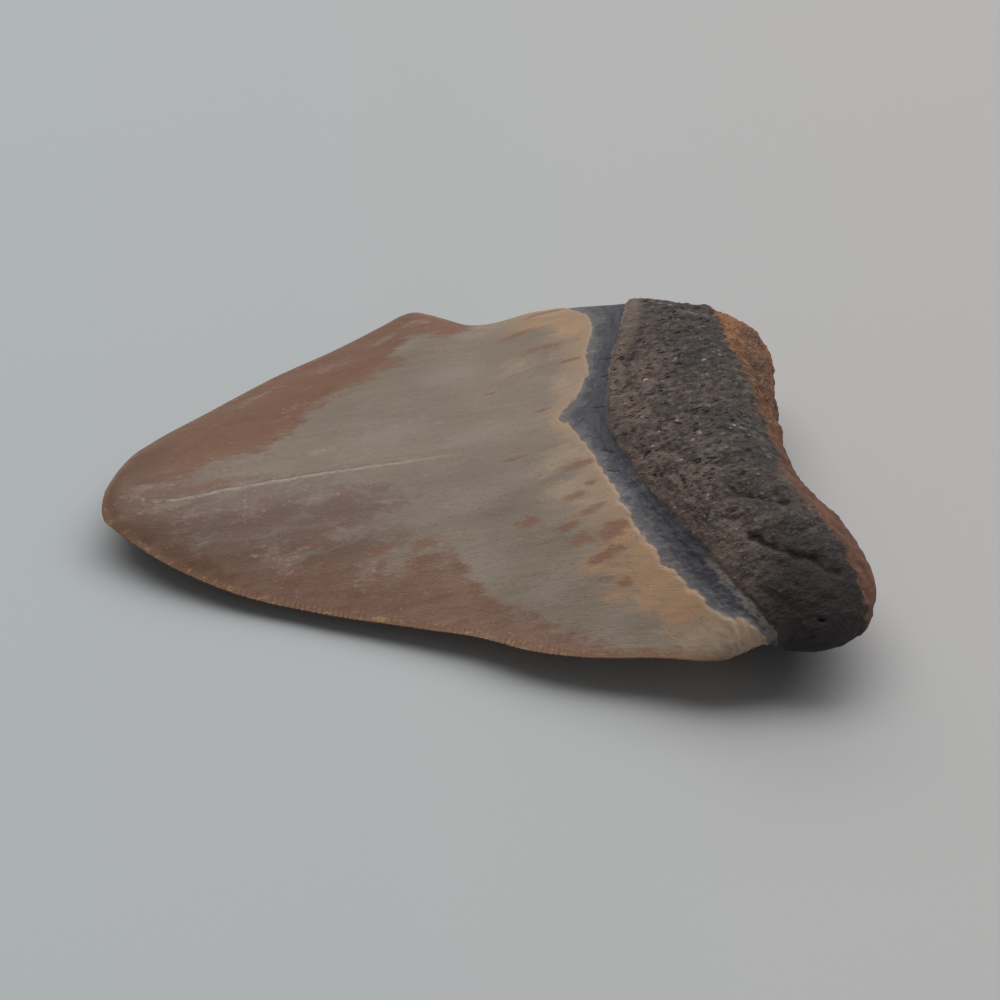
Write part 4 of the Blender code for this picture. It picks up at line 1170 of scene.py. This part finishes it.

# %% [markdown]
# ## The root
# Root bone is dull and grainy: brown grey, redder beside the gum band, with sooty blue black clouds,
# pale grains of sand and pits darkened with painted shade. Where it turns down to its basal face the bone is
# orange.

# %% Root: ground, reds and soot
BONE_SHADE = paint(56, 49, 46)
BONE_BROWN = paint(91, 79, 73)
BONE_RED = paint(103, 86, 79)
SOOT_BLUE = paint(55, 53, 54)
BONE_OLIVE = paint(92, 88, 80)
PALE_CRUMB = paint(118, 107, 100)
DARK_CRUMB = paint(41, 37, 35)
place = tint.field("place", "Vector")
lump = tint.cloud(place, (3.6, 2.8, 3), 4, 0.62)
crumb = tint.cloud(place, (1.2, 0.8, 1.0), 3, 0.6)
sandgrain = tint.cloud(place, (0.45, 0.36, 0.4), 2, 0.6)
root = Coat(tint, (lump * 0.6 + crumb * 0.5).between(-1.0, 1.0), BONE_SHADE, BONE_BROWN)
red = (tint.field("red") + lump * 0.7 + crumb * 0.2).between(-0.4, 0.7)
root.glaze(red * 0.75, BONE_RED)
soot = (tint.field("soot") + lump * 0.6 + crumb * 0.3).between(-0.3, 0.8)
root.glaze(soot * 0.85, SOOT_BLUE)
root.glaze(lump.between(0.0, 0.7) * crumb.between(-0.2, 0.5) * 0.4, BONE_OLIVE)
root.glaze(crumb.between(0.3, 1.2) * 0.55, PALE_CRUMB)
root.glaze(crumb.between(-0.2, -1.1) * 0.7, DARK_CRUMB)
tint.tell("root ground")

# %% Root: sand, grains and the strip by the gum band
SAND_WHITE = paint(164, 156, 150)
PALE_GRAIN = paint(128, 119, 112)
DARK_GRAIN = paint(42, 37, 35)
FAR_STRIP_TAN = paint(111, 98, 87)
BONE_EDGE = paint(100, 84, 77)
warped = tint.warp(place, (0.9, 0.9, 0.9), 0.30)
sandy = (tint.field("pitted") + lump * 0.8).between(-0.4, 0.9)
sand_cells = tint.cells(warped, (1.3, 0.9, 1.0))
sand = sand_cells.between(0.33, 0.18) * tint.cloud(place, (1.7, 1.4, 1.5), 2).between(0.2, 0.8)
root.glaze(sand * (sandy * 0.6 + 0.4) * 0.9, SAND_WHITE)
root.glaze(sandgrain.between(0.4, 1.3) * 0.40, PALE_GRAIN)
root.glaze(sandgrain.between(-0.4, -1.3) * 0.45, DARK_GRAIN)
far_strip = y_mm.between(-6, 8)
root.glaze((past_root + crumb * 0.4).between(2.8, 1.0) * far_strip * 0.7, FAR_STRIP_TAN)
root.glaze((past_root + crumb * 0.2).between(1.2, 0.3) * 0.4, BONE_EDGE)
tint.tell("sand")

# %% Root: slits, dark lobe and painted shade in hollows
LOBE_BLACK = paint(38, 34, 34)
PAINTED_HOLLOW_SHADE = paint(27, 23, 22)
slit_cells = tint.cells(warped, (1.5, 0.50, 0.7))
slits = (slit_cells + crumb * 0.05).between(0.34, 0.20) * (sandy * 0.85 + 0.15)
slits = slits * tint.cloud(place, (2.6, 2.0, 2), 2).between(-0.7, 0.3)
lobe_dark = (y_mm + lump * 2.5).between(-24, -36) * (x_mm + lump * 2.5).between(78, 89)
root.glaze(lobe_dark * 0.88, LOBE_BLACK)
# painted shade: pits, creases and slits are darkened where shade falls in them
painted_hollow_shade = (tint.field("pit") * 1.4 + tint.field("crease") * 0.8).between(0.05, 0.45)
root.glaze(painted_hollow_shade.most(slits) * 0.88, PAINTED_HOLLOW_SHADE)
tint.tell("root")

# %% [markdown]
# The basal face is where the jaw's soft tissue held the tooth. Its open bone took up iron and looks
# like orange crumbs. Towards the near lobe it is smoother and browner.

# %% Basal face
BASAL_BROWN = paint(90, 61, 48)
BASAL_ORANGE = paint(120, 84, 62)
FAR_ORANGE = paint(145, 99, 67)
RUSSET_BROWN = paint(86, 70, 63)
DARK_CURD = paint(66, 46, 36)
PALE_CURD = paint(166, 126, 92)
LOBE_SHADE = paint(78, 56, 46)
LOBE_BROWN = paint(106, 74, 58)
past_basal = tint.field("past_basal") + crumb * 0.25 + lump * 0.25
curd = tint.cloud(place, (1.1, 1.0, 1.1), 3, 0.65)
basal = Coat(tint, (lump * 0.6 + curd * 0.5).between(-0.7, 0.7), BASAL_BROWN, BASAL_ORANGE)
basal.glaze(y_mm.between(1, 8) * lump.between(-1.2, 0.1) * 0.85, FAR_ORANGE)
russet = (tint.field("russet") + lump * 0.5 + curd * 0.2).between(-0.4, 0.8)
basal.glaze(russet * 0.8, RUSSET_BROWN)
granular = y_mm.between(-12, 4) * 0.7 + 0.3
basal.glaze((sandgrain * 0.5 + curd).between(-0.4, -1.3) * granular * 0.6, DARK_CURD)
basal.glaze((sandgrain * 0.5 + curd).between(0.3, 1.1) * granular * 0.7, PALE_CURD)
smooth_brown = tint.over(lump.between(-0.8, 0.8), LOBE_SHADE, LOBE_BROWN)
basal.glaze(y_mm.between(-4, -14) * 0.85, smooth_brown)
root.glaze(past_basal.between(-0.4, 0.5), basal.colour)
tint.tell("basal face")

# %% [markdown]
# ## Joining the zones
# The zones meet where their distances pass zero. The old break along the far side gets the dull
# brown of bare dentine. Painted light makes the half by the long edge a little paler, where that
# side lies in shade, and painted shade makes the far half near the point a little darker, where the
# low lamp's sheen falls. Gloss follows the zones: satin enamel, waxy band, dull bone.

# %% One colour for the whole tooth
BREAK_SHADE = paint(88, 74, 62)
BREAK_TAN = paint(118, 101, 84)
break_tint = tint.over((lump + crumb * 0.6).between(-0.4, 0.5), BREAK_SHADE, BREAK_TAN)
is_band = (past_enamel + smudge * 0.10 + grit * 0.06).between(-0.08, 0.06)
is_root = (past_root + crumb * 0.12).between(-0.12, 0.12)
tooth_coat = Coat(tint, is_band, enamel.colour, band.colour)
tooth_coat.glaze(tint.field("broken") * 0.9, break_tint)
# painted light and shade: the near half paler where it is shaded, the far half by the point darker under the
# sheen
painted_light_near_half = y_mm.between(-6, -20) * (x_mm * 0.0012 + 0.12)
painted_shade_far_half = y_mm.between(0, 10) * x_mm.between(62, 42) * 0.12
painted_light_and_shade = painted_light_near_half - painted_shade_far_half + 1.0
coat_with_painted_light = tint.node("VectorMath", {"operation": "SCALE"}, {0: tooth_coat.colour, "Scale": painted_light_and_shade})
colour = tint.over(is_root, coat_with_painted_light, root.colour)
tint.plug(colour, tint.shader.inputs["Base Color"])
tint.tell("colour")

# %% [markdown]
# The bump carries what is finer than the mesh: scratches, sand, slits and curds. Its height is in
# millimetres, so each zone's relief can be judged by eye against the carving.

# %% Gloss and fine relief
SATIN, SCUFFED_SATIN, WAXY, DULL = 0.46, 0.60, 0.52, 0.80
BREAK_DULLER = 0.25
SHEEN = 0.40
satin = tint.pick(scuff, SATIN, SCUFFED_SATIN) + fine_streak * 0.05
gloss = tint.pick(is_band, satin, WAXY)
gloss = tint.pick(is_root, gloss + tint.field("broken") * BREAK_DULLER, DULL)
tint.plug(gloss, tint.shader.inputs["Roughness"])
tint.shader.inputs["Specular IOR Level"].default_value = SHEEN

enamel_height = fine_streak * 0.004 + grit * 0.004 + smudge * 0.006 - line * line_fade * 0.03
band_height = band_streak * 0.008 + smudge * 0.02 - crack * 0.10
root_height = sandgrain * 0.02 + crumb * 0.06 + sand * 0.10 - slits * 0.32
basal_height = (sandgrain * 0.05 + curd * 0.14) * granular
root_height = tint.pick(past_basal.between(-0.3, 0.5), root_height, basal_height)
height = tint.pick(is_root, tint.pick(is_band, enamel_height, band_height), root_height)
bump = tint.node("Bump", {}, {"Strength": 1.0, "Distance": MM, "Height": height}, "Normal")
tint.plug(bump, tint.shader.inputs["Normal"])
mesh.materials.append(tint.material)
tint.tell("whole finish")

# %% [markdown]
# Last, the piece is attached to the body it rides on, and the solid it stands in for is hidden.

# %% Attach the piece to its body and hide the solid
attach(tooth, "root")
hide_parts(NODE)
print("one piece:", tooth.name, "in place of", NODE)

# %% [markdown]
# ## Table and light
# The tooth lies on a plain pale sheet in window light. One long soft lamp hangs behind on the right,
# so the shadow falls to the front. A weak low one stands behind, like a wall lit by that window, and
# draws the faint outer part of the shadow. A pale sky fills the rest. A sun lamp would be easier to
# aim, but its shadow would be too hard.

# %% Table
FLOOR_SIZE = 6.0
# painted light: the sheet turns from a cool tint on the left to a warm one on the right, the tints of the
# light
COOL_PAINTED_LIGHT, WARM_PAINTED_LIGHT = (0.568, 0.630, 0.656, 1), (0.620, 0.604, 0.600, 1)           # left and right
COLOUR_TURN = 0.16                                     # metres each side over which one fades to the other
SHEET_ROUGHNESS, SHEET_SHEEN = 0.9, 0.2
floor_mesh = bpy.data.meshes.new("table")
half = FLOOR_SIZE / 2
floor_mesh.from_pydata([(-half, -half, 0), (half, -half, 0), (half, half, 0), (-half, half, 0)], [],
                       [(0, 1, 2, 3)])
floor = bpy.data.objects.new("table", floor_mesh)
floor.location.z = float(low[2])
bpy.context.scene.collection.objects.link(floor)
sheet = Finish("pale_sheet")
where = sheet.node("TexCoord", {}, {}, "Object")
sideways = sheet.node("SeparateXYZ", {}, {0: where}, 0)
# painted light of cool and warm tints, blended across the sheet
sheet_painted_light = sheet.over(sideways.between(-COLOUR_TURN, COLOUR_TURN), COOL_PAINTED_LIGHT, WARM_PAINTED_LIGHT)
sheet.plug(sheet_painted_light, sheet.shader.inputs["Base Color"])
sheet.shader.inputs["Roughness"].default_value = SHEET_ROUGHNESS
sheet.shader.inputs["Specular IOR Level"].default_value = SHEET_SHEEN
floor_mesh.materials.append(sheet.material)
sheet.tell("sheet")

# %% Lamps, in metres and watts
WARM_WHITE = (1.0, 0.98, 0.96)
LAMP_DISTANCE = 2.5
TOOTH_MIDDLE = (54.0, 0.0, 8.0)                        # in the carver's millimetres
middle = Vector(to_frame(TOOTH_MIDDLE))


def lamp(name, direction, length, breadth, power):
    """A soft lamp, long from side to side, aimed at the tooth."""
    light = bpy.data.lights.new(name, "AREA")
    light.shape = "RECTANGLE"
    light.size, light.size_y = length, breadth
    light.energy = power
    light.color = WARM_WHITE
    aim = Vector(direction).normalized()
    sideways = (Vector((1, 0, 0)) - aim * aim.x).normalized()
    turn = Matrix((sideways, aim.cross(sideways), aim)).transposed()
    thing = bpy.data.objects.new(name, light)
    thing.matrix_world = Matrix.Translation(middle + aim * LAMP_DISTANCE) @ turn.to_4x4()
    bpy.context.scene.collection.objects.link(thing)


lamp("window", direction=(0.24, 0.40, 1.0), length=4.8, breadth=1.6, power=57.5)
lamp("wall", direction=(0.0, 1.6, 1.0), length=3.0, breadth=1.0, power=12.5)
print("lamps hang", LAMP_DISTANCE, "m from the tooth")

# %% Sky
SKY_COLOUR, SKY_STRENGTH = (0.95, 0.98, 1.0, 1.0), 0.12
world = bpy.data.worlds.new("pale_sky")
world.use_nodes = True
sky = world.node_tree.nodes["Background"]
sky.inputs["Color"].default_value = SKY_COLOUR
sky.inputs["Strength"].default_value = SKY_STRENGTH
bpy.context.scene.world = world
print("sky strength:", SKY_STRENGTH)

# %% [markdown]
# ## Camera
# A long lens from about forty centimetres away shows the tooth nearly without distortion, from the
# long edge's side and from well above. The camera is placed by a turn, a height and a distance,
# which are easier to adjust than three coordinates.

# %% Camera
CAMERA_TURN, CAMERA_HEIGHT = math.radians(-7.0), math.radians(43.0)
CAMERA_DISTANCE = 0.3858
LENS, SENSOR = 100.0, 36.0                             # millimetres
NEAREST_SEEN = 0.01
LOOKED_AT = (54.727, 0.432, 0.0)                       # in the carver's millimetres
target = Vector(to_frame(LOOKED_AT))
back = Vector((math.sin(CAMERA_TURN) * math.cos(CAMERA_HEIGHT),
               -math.cos(CAMERA_TURN) * math.cos(CAMERA_HEIGHT), math.sin(CAMERA_HEIGHT)))
camera = bpy.data.objects.new("camera", bpy.data.cameras.new("camera"))
camera.data.lens = LENS
camera.data.sensor_width = SENSOR
camera.data.clip_start = NEAREST_SEEN
camera.location = target + back * CAMERA_DISTANCE
camera.rotation_euler = back.to_track_quat("Z", "Y").to_euler()
bpy.context.scene.collection.objects.link(camera)
bpy.context.scene.camera = camera
print("camera stands at", tuple(round(part, 3) for part in camera.location), "m")

# %% [markdown]
